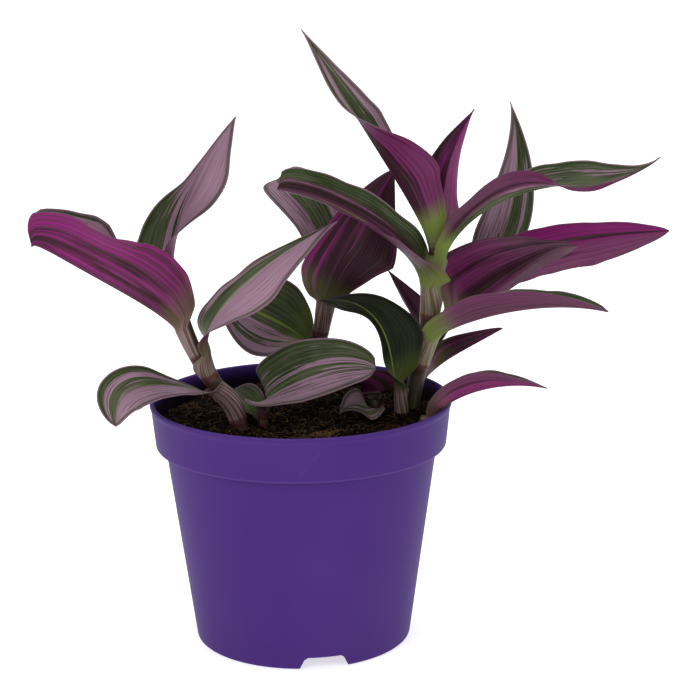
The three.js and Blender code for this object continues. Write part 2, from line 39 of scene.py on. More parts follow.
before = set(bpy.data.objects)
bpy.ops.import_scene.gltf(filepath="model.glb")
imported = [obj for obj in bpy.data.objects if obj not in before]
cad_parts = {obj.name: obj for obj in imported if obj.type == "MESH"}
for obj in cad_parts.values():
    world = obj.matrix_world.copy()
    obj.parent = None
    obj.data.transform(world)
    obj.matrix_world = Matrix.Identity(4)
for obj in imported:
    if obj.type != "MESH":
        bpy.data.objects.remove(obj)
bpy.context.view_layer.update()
MM = 0.001
SEED = 11

# Pot, as in the solid
BAND_BOTTOM = 80
BAND_RADIUS = 57.9
BODY_TOP_RADIUS = 54.2
FOOT_RADIUS = 43.2
WALL = 1.4
FLOOR_TOP = 1.4
NOTCH_HEIGHT = 5
NOTCH_WIDTH = 18
NOTCH_AZIMUTH = -79.5
NOTCH_COUNT = 3
POCKET_INNER = 25
POCKET_OUTER = FOOT_RADIUS + 6
DRAIN_RADIUS = 4
DRAIN_CIRCLE = 33
DRAIN_SIDES = 32
SCRATCH = ((-1.2, 83), (8.2, 93.6))

# Soil: its top in the solid, how far the uneven surface lies under it, and how it sinks towards the wall
SOIL_TOP = 90
SOIL_RADIUS = 56.8
SOIL_SETTLED = 0.4
WALL_SINK = 1.2
WALL_SINK_START = 52
WALL_SINK_WIDTH = 5
SOIL_RINGS = 64
SOIL_SECTORS = 160
HEAP = dict(centre=(9.5, -24.5), spread=(4.5, 2.2))
FIBRE_RADIUS = 0.13

# Leaf sheaths, as in the solids
SHEATH_CLOSED = 172
SHEATH_MOUTH = 92
SHEATH_GAP = 1
SHEATH_FLARE = 0.4
SHEATH_FOOT_GAP = 0.15

# Leaves: fullness of a sheath, least width of a half, distance over which the direction is taken
SHEATH_FULLNESS = 1.045
LEAST_WIDTH = 0.12
DIRECTION_OVER = 2.2

# Stems: distance between rings, how far a node swells, and the height where the young green starts
STEM_STEP = 0.7
NODE_REACH = 2.6
YOUNG_FROM = 138
YOUNG_OVER = 16

# Camera of the photo. Lights: place and size in metres, and the setting that holds the power
CAMERA_PLACE = (0, -773.3, 305.0)
CAMERA_AIM = (19.7, 0, 117.1)
CAMERA_ROLL = -0.42
LIGHTS = {
    "key_light": ((-1.1, -1.7, 1.5), 1.2, "key"),
    "fill_light": ((1.5, -1.2, 1.0), 1.4, "fill"),
    "top_light": ((0.1, 0.5, 2.0), 1.4, "key"),
}
LIGHT_AIM = (0, 0, 0.1)

SHOOT_NAMES = {
    "a": "left_shoot", "b": "back_shoot", "c": "inner_shoot", "d": "main_shoot",
    "e": "right_shoot", "f": "small_shoot", "g": "front_shoot", "h": "edge_shoot",
}

# Shoots: the path of each stem from its root end in the soil, and its radius along it
STEMS = {
    "a": dict(
        path=[
            [-22, -16, 84], [-27, -16, 100], [-35, -17, 111], [-41, -16, 122], [-45, -12, 133],
            [-46, -7.5, 140.5],
        ],
        radii=[3.2, 3.1, 3, 2.6, 1.8],
    ),
    "b": dict(
        path=[[10, 24, 84], [8, 23, 98], [7.5, 22, 112], [9.5, 22, 125], [12, 24, 138]],
        radii=[3.2, 3, 2.8, 2],
    ),
    "c": dict(path=[[40, -2, 84], [40, -3, 96], [41, -3, 102]], radii=[2.4, 2.2, 2]),
    "d": dict(
        path=[
            [43, 6, 84], [46, 7, 101], [49, 6, 115], [51.3, 5, 128], [53, 3, 144], [54, 3, 155],
            [55, 4, 166],
        ],
        radii=[3.4, 3.4, 3.6, 3.5, 3, 1.6],
    ),
    "e": dict(
        path=[
            [44, 18, 84], [46, 21, 95], [51, 25, 106], [56.5, 28, 116], [62, 29, 127], [70, 34, 137],
            [76, 40, 144],
        ],
        radii=[3, 2.8, 2.4, 1.6],
    ),
    "f": dict(path=[[32, -1, 84], [30, -2, 91], [29, -2, 97.5]], radii=[1.8, 1.4]),
    "g": dict(path=[[-14, -9, 84], [-15, -10, 91], [-15, -10, 97]], radii=[2, 1.6]),
    "h": dict(path=[[47, -15, 84], [47.5, -16, 89], [48, -16.5, 94]], radii=[1.8, 1.4]),
}

# Leaves, each named by its shoot and number. at, sheath: start of the sheath along the stem and its length.
# reach, lean: how far the midrib goes on from there and leans out. closed, gap, open: how far the sheath goes
# round the stem, its distance from it, and the length over which the blade opens. spine: control points of
# the midrib. face: the way the upper face looks along it. width, wide_at, tip, neck, corner: greatest width
# of a half, where it is, and the taper to both ends, with two values where the halves differ. left, right:
# fold and curl of each half along the blade.
LEAVES = {
    "a4": dict(
        at=9.5, sheath=16, reach=2, width=[11, 10], wide_at=[0.66, 0.78], tip=0.7, neck=[0.45, 0.25],
        spine=[[-48, -27, 112], [-66, -32, 115], [-69.8, -33, 112], [-70.5, -34, 96.5]],
        face=[[0, -0.2, 0.9], [0.05, -0.4, 0.85], [-0.1, -0.6, 0.7], [-0.3, -0.8, 0.4]],
        left=[[0, 5, 5], [20, 10, 0]], right=[[0, -10, 25, 40], [10, 10, 0]],
    ),
    "a3": dict(
        at=30.4, sheath=6, reach=8, width=[14.5, 14], wide_at=[0.4, 0.68], neck=[0.7, 0.05], open=9,
        corner=0, spine=[[-39, -22, 134], [-22, -26, 154], [15, -18, 172]],
        face=[[-0.6, -0.2, 0.7], [-0.55, -0.3, 0.7], [-0.4, -0.5, 0.7]], left=[[15, 0, 0], [40, 10, 0]],
        right=[[20, 10, -30, -10], [40, 20, 0]],
    ),
    "a1": dict(
        at=39.4, sheath=11, reach=6.6, corner=[0, 1.6], width=[26, 20], wide_at=[0.5, 0.62],
        neck=[0.35, 0.15], tip=[0.5, 0.3], closed=60,
        spine=[[-61.5, -20, 145.2], [-80, -27, 151.6], [-99, -28, 170], [-100.5, -26, 165]],
        face=[[0.5, 0.2, 0.7], [0.3, 0.2, 0.95], [0.3, 0.2, 0.95]], left=[[40, 60, 80], [30, 20, -50, -20]],
        right=[[30, 60, 75, 75], [20, 20, 15, 10]],
    ),
    "a2": dict(
        at=60.5, sheath=3.6, reach=5, width=[16, 12], wide_at=[0.22, 0.66], tip=[1.05, 0.95],
        neck=[0.7, 0.45], closed=70, spine=[[-53, 14, 169], [-38, -2, 193], [-23.5, -4, 210.5]],
        face=[[-0.6, -0.7, 0.4], [-0.2, -0.9, 0.4], [0.6, -0.8, 0.2], [0.8, -0.6, 0.2]],
        left=[[15, 30, 40, 30], [30, 10, 0]], right=[[15, 60, 30, 0], [40, 20, 0]],
    ),
    "g1": dict(
        at=10.2, sheath=2.3, reach=6, width=[13.8, 12.5], wide_at=[0.45, 0.55], tip=0.42, closed=120,
        neck=[0.9, 0.6], spine=[[-13, -18, 106], [10, -25, 123], [29, -22, 115]],
        face=[[-0.6, -0.5, 0.5], [-0.2, -0.9, 0.5], [0.1, -0.9, 0.4]], left=[[30, 5, 5], [20, 15, 0]],
        right=[[50, 15, 5], [20, 15, 0]],
    ),
    "g2": dict(
        at=6.8, sheath=1.5, reach=3, width=7, closed=90, open=4,
        spine=[[-22, -4, 99], [-25, 4, 102], [-29, 10, 97]], face=[[-0.3, -0.2, 0.9], [-0.3, -0.2, 0.9]],
        left=[[15, 20, 15], [20, 10, 0]], right=[[15, 20, 15], [20, 10, 0]],
    ),
    "b6": dict(
        at=20, sheath=9, reach=5, width=17, wide_at=0.58, tip=0.7, neck=0.3,
        spine=[[-7, 20, 125], [-20, 16, 130], [-32, 14, 138]],
        face=[[0.5, -0.7, 0.5], [0, -0.95, 0.2], [0, -0.95, 0.2]], left=[[20, 5, 10], [40, 15, 0]],
        right=[[20, 5, 10], [20, 15, 0]],
    ),
    "b3": dict(
        at=35, sheath=12, reach=2, width=[21.5, 16], wide_at=[0.6, 0.3], tip=[0.95, 0.7], open=7,
        neck=[0.1, 0.2], corner=[1.6, 0.5], spine=[[11, 12, 149], [24, 8, 166], [38.5, 20, 186]],
        face=[[0.1, 0.95, 0.2], [0.1, 0.95, 0.3], [0, 0.95, 0.3]], left=[[10, 0, 10], [10, 10, 10]],
        right=[[10, 30, 35, 20], [20, 20, 10]],
    ),
    "b1": dict(
        at=51, sheath=4, reach=5, width=13, wide_at=0.6, tip=0.7,
        spine=[[14, 46, 152], [8, 42, 170], [-12, 34, 181.5], [-8, 54, 177]],
        face=[[-0.2, -0.85, 0.4], [-0.2, -0.8, 0.5], [-0.4, -0.5, 0.7]], left=[[20, 50, 10], [40, 10, 0]],
        right=[[20, 15, 10], [40, 10, 0]],
    ),
    "c2": dict(
        at=7, sheath=10, reach=6, width=[14, 15], wide_at=[0.5, 0.42], tip=[0.8, 1.5], neck=[0.45, 0.3],
        corner=[0, 1], spine=[[36.6, -4, 124], [30.5, 0, 140], [8, 6, 136]],
        face=[[0.2, -0.8, 0.5], [0.4, -0.8, 0.5], [0.2, -0.7, 0.7]], left=[[20, 50, 10], [40, 20, 0]],
        right=[[20, 10, 10], [40, 10, 0]],
    ),
    "h1": dict(
        at=6.8, sheath=2, reach=2, width=[9.5, 8], closed=120, neck=[0.3, 0.15], wide_at=[0.6, 0.5],
        spine=[[57, -22, 106], [78, -27, 111.5], [95, -25, 107]],
        face=[[-0.3, 0.5, 0.8], [0, 0.6, 0.8], [0.2, 0.6, 0.8]], left=[[10, 60, 70], [30, 10, 0]],
        right=[[30, 45, 20], [30, 10, 0]],
    ),
    "d7": dict(
        at=25.5, sheath=11, reach=5, width=[9.5, 11.5], wide_at=[0.72, 0.5], tip=[0.6, 0.75],
        spine=[[56, -2, 125.2], [87, -8, 141], [120.5, -10, 133.5]],
        face=[[-0.1, 0.2, 0.95], [0, 0.5, 0.8], [0.1, 0.4, 0.9]], left=[[5, 20, 70, 75, 60], [30, 10, 0]],
        right=[[15, 35, 20], [30, 10, 0]],
    ),
    "d5": dict(
        at=46.5, sheath=12, reach=8, width=[16, 11.5], wide_at=[0.5, 0.85], tip=[0.5, 0.22],
        neck=[0.85, 1.1], spine=[[47.5, -2, 155], [28, -8, 171], [8, -12, 182], [-8, -14, 184]],
        face=[[0.4, -0.2, 0.9], [0.3, -0.25, 0.9], [0.2, -0.3, 0.9]], left=[[25, 12, 15], [40, 20, 20]],
        right=[[15, 40, 30], [40, 20, 10]],
    ),
    "d3": dict(
        at=63.5, sheath=5, reach=6, width=[12, 17], wide_at=[0.64, 0.69], tip=[1.3, 3.1], neck=[0.1, 0.15],
        corner=[1.5, 2], spine=[[60, -4, 173], [94, -10, 197.5], [116, -12, 174], [138, -16, 195]],
        face=[[-0.5, 0.3, 0.8], [-0.1, 0.5, 0.8], [0.1, 0.4, 0.8], [0, -0.4, 0.9]],
        left=[[10, 30, 65, 65, 50], [30, 20, 10]], right=[[15, 45, 25, -40, 10], [30, 20, 10]],
    ),
    "d1": dict(
        at=73.2, sheath=3, reach=6, width=[18, 12.5], wide_at=[0.45, 0.45], tip=[1.5, 1], neck=[0.28, 0.3],
        corner=[1.4, 0], spine=[[43.5, -2, 178], [22, -6, 211], [2, 0, 243]],
        face=[[0.6, 0.3, 0.7], [0.6, 0.2, 0.7], [0.6, 0.05, 0.6], [0.45, -0.6, 0.45], [0.2, -0.8, 0.4]],
        left=[[15, 60, 35, 0], [40, 20, 0]], right=[[5, 40, 45, 0], [40, 10, 0]],
    ),
    "d2": dict(
        at=81.3, sheath=1.6, reach=2, width=[16.5, 13.5], wide_at=[0.45, 0.35], corner=[0, 0.8], closed=60,
        lean=0, neck=[0.3, 0.25], gap=0.85, spine=[[56.5, 3, 178], [57, 11, 192], [69, 8, 211]],
        face=[[-0.2, 0.95, 0.2], [-0.2, 0.95, 0.2]], left=[[15, 40, 40], [40, 20, 10]],
        right=[[50, 70, 40, 40], [20, 20, 20, 10]],
    ),
    "e8": dict(
        at=17, sheath=4, reach=5, width=8, closed=90, tip=0.7,
        spine=[[59, 24, 107], [71, 20, 114], [82, 18, 121]], face=[[-0.2, 0.6, 0.7], [-0.1, 0.4, 0.8]],
        left=[[20, 45, 40], [20, 10, 0]], right=[[20, 45, 40], [20, 10, 0]],
    ),
    "e10": dict(
        at=26, sheath=4, reach=5, width=8.5, closed=90,
        spine=[[47, 36, 121], [42.5, 38, 131], [36.5, 40, 141.5]], face=[[0.4, 0.8, 0.4], [0.4, 0.8, 0.4]],
        left=[[20, 45, 40], [20, 10, 0]], right=[[20, 45, 40], [20, 10, 0]],
    ),
    "e6": dict(
        at=38, sheath=4.5, reach=2, width=[5, 25], wide_at=[0.78, 0.26], tip=[0.2, 1.1], neck=[0.3, 0],
        corner=[0.3, 2], open=5, closed=45,
        spine=[[79, 20, 136], [91, 10, 148], [100, 4, 158], [111, 12, 155.5]],
        face=[[0, 1, 0], [0, 1, 0.1], [0.1, 0.9, 0.4]], left=[[10, 25, 10], [10, 10, 0]],
        right=[[0, 10, 60, 80], [10, 20, 10]],
    ),
    "e5": dict(
        at=54.5, sheath=5, reach=3, width=[12.5, 11], wide_at=[0.66, 0.4], tip=[0.75, 0.65], neck=[0.45, 1],
        spine=[[92, 34, 152.5], [122, 34, 154], [151, 30, 158]], face=[[0, 0.9, 0.4], [0, 0.8, 0.5]],
        left=[[10, 0, -5], [20, 10, 0]], right=[[10, 10, 20], [20, 20, 10]],
    ),
    "e4": dict(
        at=64, sheath=4, reach=3, width=[12, 10.8], spine=[[88.5, 52, 156], [96, 52, 180], [87.5, 50, 209]],
        face=[[-0.2, -0.95, 0.2], [0, -0.95, 0.2]], left=[[15, 20, 10], [40, 10, 0]],
        right=[[15, 20, 10], [40, 10, 0]],
    ),
    "f1": dict(
        at=11.5, sheath=2, reach=3, width=9.5, closed=110, spine=[[31, 2, 98], [30, 2, 106], [20, 0, 106]],
        face=[[0.2, 0.9, 0.4], [0.2, 0.9, 0.4]], left=[[20, 20, 10], [20, 10, 0]],
        right=[[20, 20, 10], [20, 10, 0]],
    ),
    "f2": dict(
        at=7.6, sheath=1.5, reach=3, width=[10, 7], closed=90, open=4,
        spine=[[25, -8, 98], [19, -13, 102], [15, -15, 95]], face=[[-0.1, -0.6, 0.8], [-0.3, -0.6, 0.7]],
        left=[[15, 0, 0], [20, 10, 0]], right=[[20, 10, 10], [20, 10, 0]],
    ),
}

# Colour of each leaf, as one number, one for each half, or four from the left margin to the right one.
# pink: share of pale stripes above. glow: brightness of the underside from mauve to magenta, partly its own
# magenta and partly painted glow of light shining through the leaf. dark: share of dark stripes of the
# underside.
# flush: above 0 the upper face has the colours of the underside, below 0 it is the other way round.
# late: glow added towards the tip, partly painted glow. lined: strength of the fine lines. lime: green at the
# base.
# shade: darkening of the whole leaf towards black, partly its own darker colour and partly painted shade
# where it lies under other leaves.
TINTS = {
    "a4": dict(pink=(1.5, 0.75, 0.55, 0.45), glow=0.4, dark=0.4, lined=0.7, lime=0.2),
    "a3": dict(pink=(0.1, 0.4, 1.3, 1.3), glow=0.3, dark=(0.7, 0.3), lined=0.3, lime=0.4),
    "a1": dict(pink=1.1, glow=(0.8, 0.66, 0.66, 0.72), dark=(0.28, 0.38, 0.42, 0.3), lined=0.95, lime=0.35,
               late=0.35),
    "a2": dict(pink=(0.1, 0.5, 1.4, 0.55), glow=0.9, dark=0.3, lined=0.25, lime=0.2),
    "g1": dict(pink=(0.32, 0.4, 0.62, 1.3), glow=0.2, dark=0.4, lined=0.7, lime=0.1, shade=0.8),
    "g2": dict(pink=(0.2, 0.3), glow=0.3, dark=0.5, lined=0.4, lime=0.2, shade=0.7),
    "b6": dict(pink=(0.8, 0.15, 0.0, 0.15), glow=0.4, dark=0.6, lined=0.3, lime=0.6, shade=0.9),
    "b3": dict(pink=(0.35, 0.45), glow=(0.5, 0.5, 0.7, 0.8), dark=(0.8, 0.72, 0.7, 0.5), lined=0.9,
               lime=0.35, late=0.2),
    "b1": dict(pink=(0.8, 0.42, 0.3, 0.42), glow=0.5, dark=0.4, lined=0.9, lime=0.1, shade=0.9),
    "c2": dict(pink=0.0, glow=0.2, dark=0.8, lined=0.3, lime=0.5, shade=0.2),
    "h1": dict(pink=(0.6, 0.65), glow=(0.2, 0.4, 0.85, 0.1), dark=(0.4, 0.5, 0.36, 0.1), lined=0.6,
               lime=0.3),
    "d7": dict(pink=(0.2, 0.5), glow=(0.1, 0.1, 0.1, 0.3), dark=(0.3, 0.3, 0.3, 0.15), lined=0.5, lime=1.0),
    "d5": dict(pink=(0.5, 0.5, 0.3, 0.3), glow=(0.2, 0.3, 0.5, 0.5), dark=(0.3, 0.5, 0.75, 0.5), lined=0.7,
               lime=0.9, flush=(0.9, 0.9, 1.6, -0.8)),
    "d3": dict(pink=(0.2, 0.3), glow=(0.5, 0.5, 0.1, 0.1), dark=(0.5, 0.5, 0.6, 0.35), lined=0.6, lime=1.5,
               flush=(0, -1, -1.7, 3.4), late=0.9),
    "d1": dict(pink=(0.4, 0.4, 0.3, 0.7), glow=(0.5, 0.6, 0.5, 0.5), dark=(0.5, 0.7, 0.6, 0.5), lined=0.6,
               lime=1.4),
    "d2": dict(pink=0.7, glow=(1.0, 1.0, 0.85, 0.8), dark=(0.0, 0.1, 0.8, 0.85), lined=0.1, lime=0.3),
    "e8": dict(pink=(0.25, 0.35), glow=1.0, dark=(0.4, 0.55), lined=0.3, lime=0.2, shade=0.9),
    "e10": dict(pink=0.6, glow=0.2, dark=0.5, lined=0.9, lime=0.2, shade=0.8),
    "e6": dict(pink=(0.9, 0.35), glow=(0.1, 0.35, 0.65, 0.6), dark=(0.0, 0.2, 0.5, 0.7), lined=0.4,
               lime=0.5, late=-0.6),
    "e5": dict(pink=(0.6, 0.7), glow=(0.3, 0.6, 1.0, 1.0), dark=(0.15, 0.45, 0.6, 0.2), lined=0.7, lime=0.2),
    "e4": dict(pink=(1.15, 0.55, 0.0, 0.05), glow=0.4, dark=0.5, lined=0.7, lime=0.2, shade=0.88),
    "f1": dict(pink=(0.9, 0.85), glow=1.0, dark=0.5, lined=0.3, lime=0.1, shade=0.8),
    "f2": dict(pink=(0.4, 0.3, 1.0, 1.2), glow=0.3, dark=0.4, lined=0.6, lime=0.1, shade=0.7),
}

# Noise of a leaf: its pace across and along the blade, its shift and its detail
LEAF_NOISE = {
    "bands": (2.7, 0.009, 0, 1), "lines": (13, 0.022, 3.1, 1), "dashes": (8, 0.09, 6.3, 2),
    "fine": (42, 0.03, 1.7, 2), "cloud": (3, 0.06, 8.9, 3), "stripe": (15, 0.03, 0, 2),
    "ridges": (26, 0.02, 0, 1),
}


def swatch(name, about, colour):
    """A colour that a user may change."""
    return FloatVectorProperty(name=name, description=about, subtype="COLOR", size=4, min=0, max=1,
                               default=(*colour, 1))


def measure(name, about, default):
    """A length that a user may change, given in millimetres."""
    return FloatProperty(name=name, description=about, default=default * MM, unit="LENGTH")


def count(name, about, default, least=0):
    """A whole number that a user may change."""
    return IntProperty(name=name, description=about, default=default, min=least)


class PotSettings(bpy.types.PropertyGroup):
    """Sizes and colours of the nursery pot"""
    steps: count("Steps round", "Sides of the turned pot", 180, 48)
    colour: swatch("Plastic", "Colour of the plastic", (0.058, 0.018, 0.171))
    inside: swatch("Painted shade on plastic", "Colour of the painted shade inside and under the band", (0.018, 0.005, 0.065))
    peat: swatch("Peat on the wall", "Colour of the peat that clings inside", (0.004, 0.0022, 0.0016))
    wear_and_highlight: swatch("Scuffed and highlit plastic", "Colour where the plastic is rubbed, and of the painted highlights on its edges", (0.10, 0.05, 0.23))
    roughness: FloatProperty(name="Roughness", description="Roughness of the plastic", default=0.5,
                             min=0, max=1)


class SoilSettings(bpy.types.PropertyGroup):
    """Sizes and colours of the potting soil"""
    heave: measure("Heave", "Rise and fall of the soil", 1.5)
    crumb: measure("Crumb", "Radius of a crumb", 0.8)
    crumbs: count("Crumbs", "Number of dark crumbs", 3400)
    chips: count("Chips", "Number of light crumbs", 240)
    fibres: count("Fibres", "Number of peat fibres", 850)
    fibre: measure("Fibre", "Length of a fibre", 7)
    dark: swatch("Dark peat", "Colour of the damp peat", (0.0022, 0.0012, 0.0009))
    light: swatch("Light peat", "Colour of the dry peat", (0.013, 0.006, 0.0035))
    straw: swatch("Fibre", "Colour of the fibres", (0.21, 0.105, 0.04))


class StemSettings(bpy.types.PropertyGroup):
    """Sizes and colours of the stems"""
    sides: count("Sides", "Sides of a stem", 20, 8)
    swell: measure("Swell", "Swelling of a node", 0.35)
    green: swatch("Stem green", "Colour between the nodes", (0.045, 0.047, 0.016))
    brown: swatch("Stem brown", "Colour of the older streaks", (0.052, 0.020, 0.016))
    young: swatch("Young stem", "Colour of the young top", (0.20, 0.26, 0.065))
    ring: swatch("Node ring", "Colour of the ring at a node", (0.060, 0.014, 0.012))


class LeafSettings(bpy.types.PropertyGroup):
    """Sizes and colours of the leaves"""
    rows: count("Rows", "Rows along a blade", 60, 12)
    columns: count("Columns", "Columns across half a blade", 14, 4)
    middle: measure("Midrib", "Thickness at the midrib", 0.62)
    edge: measure("Margin", "Thickness at the margin", 0.26)
    wave: measure("Wave", "Waving of the margins", 0.7)
    pleat: measure("Pleat", "Depth of the lengthwise pleats", 0.10)
    green: swatch("Green", "Green of the upper face", (0.020, 0.044, 0.007))
    olive: swatch("Olive", "Paler green of the upper face", (0.085, 0.104, 0.050))
    pale: swatch("Pale pink", "Pale stripes of the upper face", (0.29, 0.16, 0.23))
    blush: swatch("Blush", "Palest stripes of the upper face", (0.39, 0.25, 0.33))
    magenta: swatch("Magenta", "Bright stripes of the underside", (0.22, 0.006, 0.14))
    mauve: swatch("Mauve", "Dull stripes of the underside", (0.105, 0.042, 0.072))
    plum: swatch("Plum", "Dark stripes of the underside", (0.034, 0.004, 0.018))
    moss: swatch("Moss", "Green-brown lines of the underside", (0.040, 0.028, 0.018))
    lime: swatch("Lime", "Green at the base of a blade", (0.17, 0.225, 0.048))
    sheath: swatch("Sheath", "Pale stripes of a sheath", (0.33, 0.22, 0.24))
    brown: swatch("Sheath lines", "Dark stripes of a sheath", (0.10, 0.045, 0.045))
    ring: swatch("Node ring", "Ring at the foot of a sheath", (0.085, 0.018, 0.020))


class StageSettings(bpy.types.PropertyGroup):
    """Floor, lights and camera"""
    floor: swatch("Floor", "Colour of the floor", (0.9, 0.9, 0.9))
    key: FloatProperty(name="Key light", description="Power of the key light", default=15, unit="POWER")
    fill: FloatProperty(name="Fill light", description="Power of the fill light", default=5, unit="POWER")
    glow: FloatProperty(name="Floor glow", description="Light of the floor itself", default=0.64, min=0)
    sky: FloatProperty(name="Surround", description="Strength of the white surround", default=0.4, min=0)
    lens: FloatProperty(name="Lens", description="Focal length of the camera", default=103.37, unit="CAMERA")


class PlantSettings(bpy.types.PropertyGroup):
    """All settings of the potted plant"""
    pot: PointerProperty(type=PotSettings, name="Pot", description="Settings of the pot")
    soil: PointerProperty(type=SoilSettings, name="Soil", description="Settings of the soil")
    stem: PointerProperty(type=StemSettings, name="Stems", description="Settings of the stems")
    leaf: PointerProperty(type=LeafSettings, name="Leaves", description="Settings of the leaves")
    stage: PointerProperty(type=StageSettings, name="Stage", description="Settings of the stage")


class Wire:
    """One output of a node. Sums, differences and products of wires add Math nodes."""

    def __init__(self, net, socket):
        self.net = net
        self.socket = socket

    def math(self, operation, *others):
        return self.net.add("ShaderNodeMath", dict(enumerate((self, *others))), operation=operation)

    def __add__(self, other):
        return self.math("ADD", other)

    def __sub__(self, other):
        return self.math("SUBTRACT", other)

    def __mul__(self, other):
        return self.math("MULTIPLY", other)

    def __rsub__(self, other):
        return self.net.add("ShaderNodeMath", {0: other, 1: self}, operation="SUBTRACT")

    __radd__ = __add__
    __rmul__ = __mul__

    def output(self, name):
        """Another output of the same node."""
        return Wire(self.net, chosen(self.socket.node.outputs, name))

    def rise(self, low, high):
        """A soft step from 0 at low to 1 at high, also where low is the greater."""
        sockets = {"Value": self, "From Min": low, "From Max": high}
        return self.net.add("ShaderNodeMapRange", sockets, interpolation_type="SMOOTHSTEP")


def chosen(sockets, name):
    """The socket at a place in the list, or the one in use that has the name."""
    if isinstance(name, int):
        return sockets[name]
    return next(s for s in sockets if s.enabled and name in (s.name, s.identifier))


class Net:
    """A node tree in the making."""

    def __init__(self, tree):
        self.tree = tree

    def add(self, kind, sockets=None, output=None, **settings):
        """Adds a node: its settings first, then the values or links of its sockets."""
        node = self.tree.nodes.new(kind)
        for name, value in settings.items():
            setattr(node, name, value)
        for name, value in (sockets or {}).items():
            socket = chosen(node.inputs, name)
            if isinstance(value, Wire):
                self.tree.links.new(value.socket, socket)
            else:
                socket.default_value = value
        live = [s for s in node.outputs if s.enabled]
        if not live:
            return None
        return Wire(self, live[0] if output is None else chosen(node.outputs, output))

    def vector(self, x=0.0, y=0.0, z=0.0):
        return self.add("ShaderNodeCombineXYZ", {"X": x, "Y": y, "Z": z})

    def parts(self, vector):
        x = self.add("ShaderNodeSeparateXYZ", {"Vector": vector})
        return x, x.output("Y"), x.output("Z")


class Paint(Net):
    """The nodes of one material."""

    def __init__(self, name):
        self.material = bpy.data.materials.new(name)
        self.material.use_nodes = True
        super().__init__(self.material.node_tree)
        self.tree.nodes.clear()

    def attribute(self, name, output="Vector"):
        return self.add("ShaderNodeAttribute", None, output, attribute_name=name)

    def place(self):
        return self.add("ShaderNodeTexCoord", None, "Object")

    def noise(self, vector, scale=1.0, detail=2.0, roughness=0.5):
        sockets = {"Vector": vector, "Scale": scale, "Detail": detail, "Roughness": roughness}
        return self.add("ShaderNodeTexNoise", sockets, "Fac")

    def mix(self, factor, a, b):
        """From colour a to colour b."""
        sockets = {"Factor": factor, "A": a, "B": b}
        return self.add("ShaderNodeMix", sockets, data_type="RGBA", clamp_factor=True)

    def over(self, base, *layers):
        """Lays colours over each other, each by its own share."""
        for share, colour in layers:
            base = self.mix(share, base, colour)
        return base

    def bump(self, height, strength, distance):
        sockets = {"Height": height, "Strength": strength, "Distance": distance * MM}
        return self.add("ShaderNodeBump", sockets)

    def finish(self, **sockets):
        """Ends the material in one surface shader."""
        named = {key.replace("_", " "): value for key, value in sockets.items()}
        shader = self.add("ShaderNodeBsdfPrincipled", named)
        self.add("ShaderNodeOutputMaterial", {"Surface": shader})
        return self.material


class Growth(Net):
    """A Geometry Nodes tree that works on a mesh and ends in plain faces of one material."""

    def __init__(self, name, **sizes):
        super().__init__(bpy.data.node_groups.new(name, "GeometryNodeTree"))
        self.sizes = sizes
        kinds = {size: "Int" if isinstance(value, int) else "Float" for size, value in sizes.items()}
        face = self.tree.interface
        for size, kind in {"Geometry": "Geometry", **kinds, "Material": "Material"}.items():
            face.new_socket(name=size, in_out="INPUT", socket_type="NodeSocket" + kind)
        face.new_socket(name="Geometry", in_out="OUTPUT", socket_type="NodeSocketGeometry")
        self.start = self.add("NodeGroupInput", None, "Geometry")

    def size(self, name):
        return self.start.output(name)

    def chance(self, low, high, seed):
        """A random number for each point."""
        kind = "FLOAT_VECTOR" if isinstance(low, tuple) else "FLOAT"
        return self.add("FunctionNodeRandomValue", {"Min": low, "Max": high, "Seed": seed}, data_type=kind)

    def store(self, geometry, name, value, kind="FLOAT", domain="INSTANCE"):
        """Stores a value under a name on each instance or point."""
        return self.add("GeometryNodeStoreNamedAttribute",
                        {"Geometry": geometry, "Name": name, "Value": value}, data_type=kind, domain=domain)

    def scatter(self, shape, turn, scale):
        """A shape on each point of the mesh."""
        points = self.add("GeometryNodeMeshToPoints", {"Mesh": self.start})
        return self.add("GeometryNodeInstanceOnPoints",
                        {"Points": points, "Instance": shape, "Rotation": turn, "Scale": scale})

    def ring(self, sides, radius):
        return self.add("GeometryNodeCurvePrimitiveCircle", {"Resolution": sides, "Radius": radius})

    def tube(self, line, ring, **more):
        return self.add("GeometryNodeCurveToMesh",
                        {"Curve": line, "Profile Curve": ring, "Fill Caps": True, **more})

    def end(self, geometry):
        solid = self.add("GeometryNodeRealizeInstances", {"Geometry": geometry})
        smooth_faced = self.add("GeometryNodeSetShadeSmooth", {"Geometry": solid})
        painted = self.add("GeometryNodeSetMaterial",
                           {"Geometry": smooth_faced, "Material": self.size("Material")})
        self.add("NodeGroupOutput", {"Geometry": painted})
        return self

    def run(self, name, mesh, material):
        """Runs the tree on a mesh and gives the outcome as a plain object."""
        piece = new_object(name, mesh)
        modifier = piece.modifiers.new("growth", "NODES")
        modifier.node_group = self.tree
        values = dict(self.sizes, Material=material)
        for item in self.tree.interface.items_tree:
            if item.in_out == "INPUT" and item.name in values:
                modifier[item.identifier] = values[item.name]
        return settle(piece)


def new_object(name, data):
    """A new object in the scene."""
    piece = bpy.data.objects.new(name, data)
    bpy.context.scene.collection.objects.link(piece)
    return piece


def settle(piece):
    """Turns what the modifiers make into the object's plain mesh."""
    graph = bpy.context.evaluated_depsgraph_get()
    made = piece.evaluated_get(graph)
    mesh = bpy.data.meshes.new_from_object(made, preserve_all_data_layers=True, depsgraph=graph)
    piece.modifiers.clear()
    piece.data = mesh
    mesh.name = piece.name
    return piece


def mesh_of(name, points, faces=(), edges=(), scale=MM):
    """A mesh from points in millimetres."""
    mesh = bpy.data.meshes.new(name)
    mesh.from_pydata((np.asarray(points, float) * scale).tolist(), list(edges), list(faces))
    mesh.update()
    return mesh


def chain(name, points):
    """A mesh of points joined in a row."""
    return mesh_of(name, points, edges=[(i, i + 1) for i in range(len(points) - 1)])


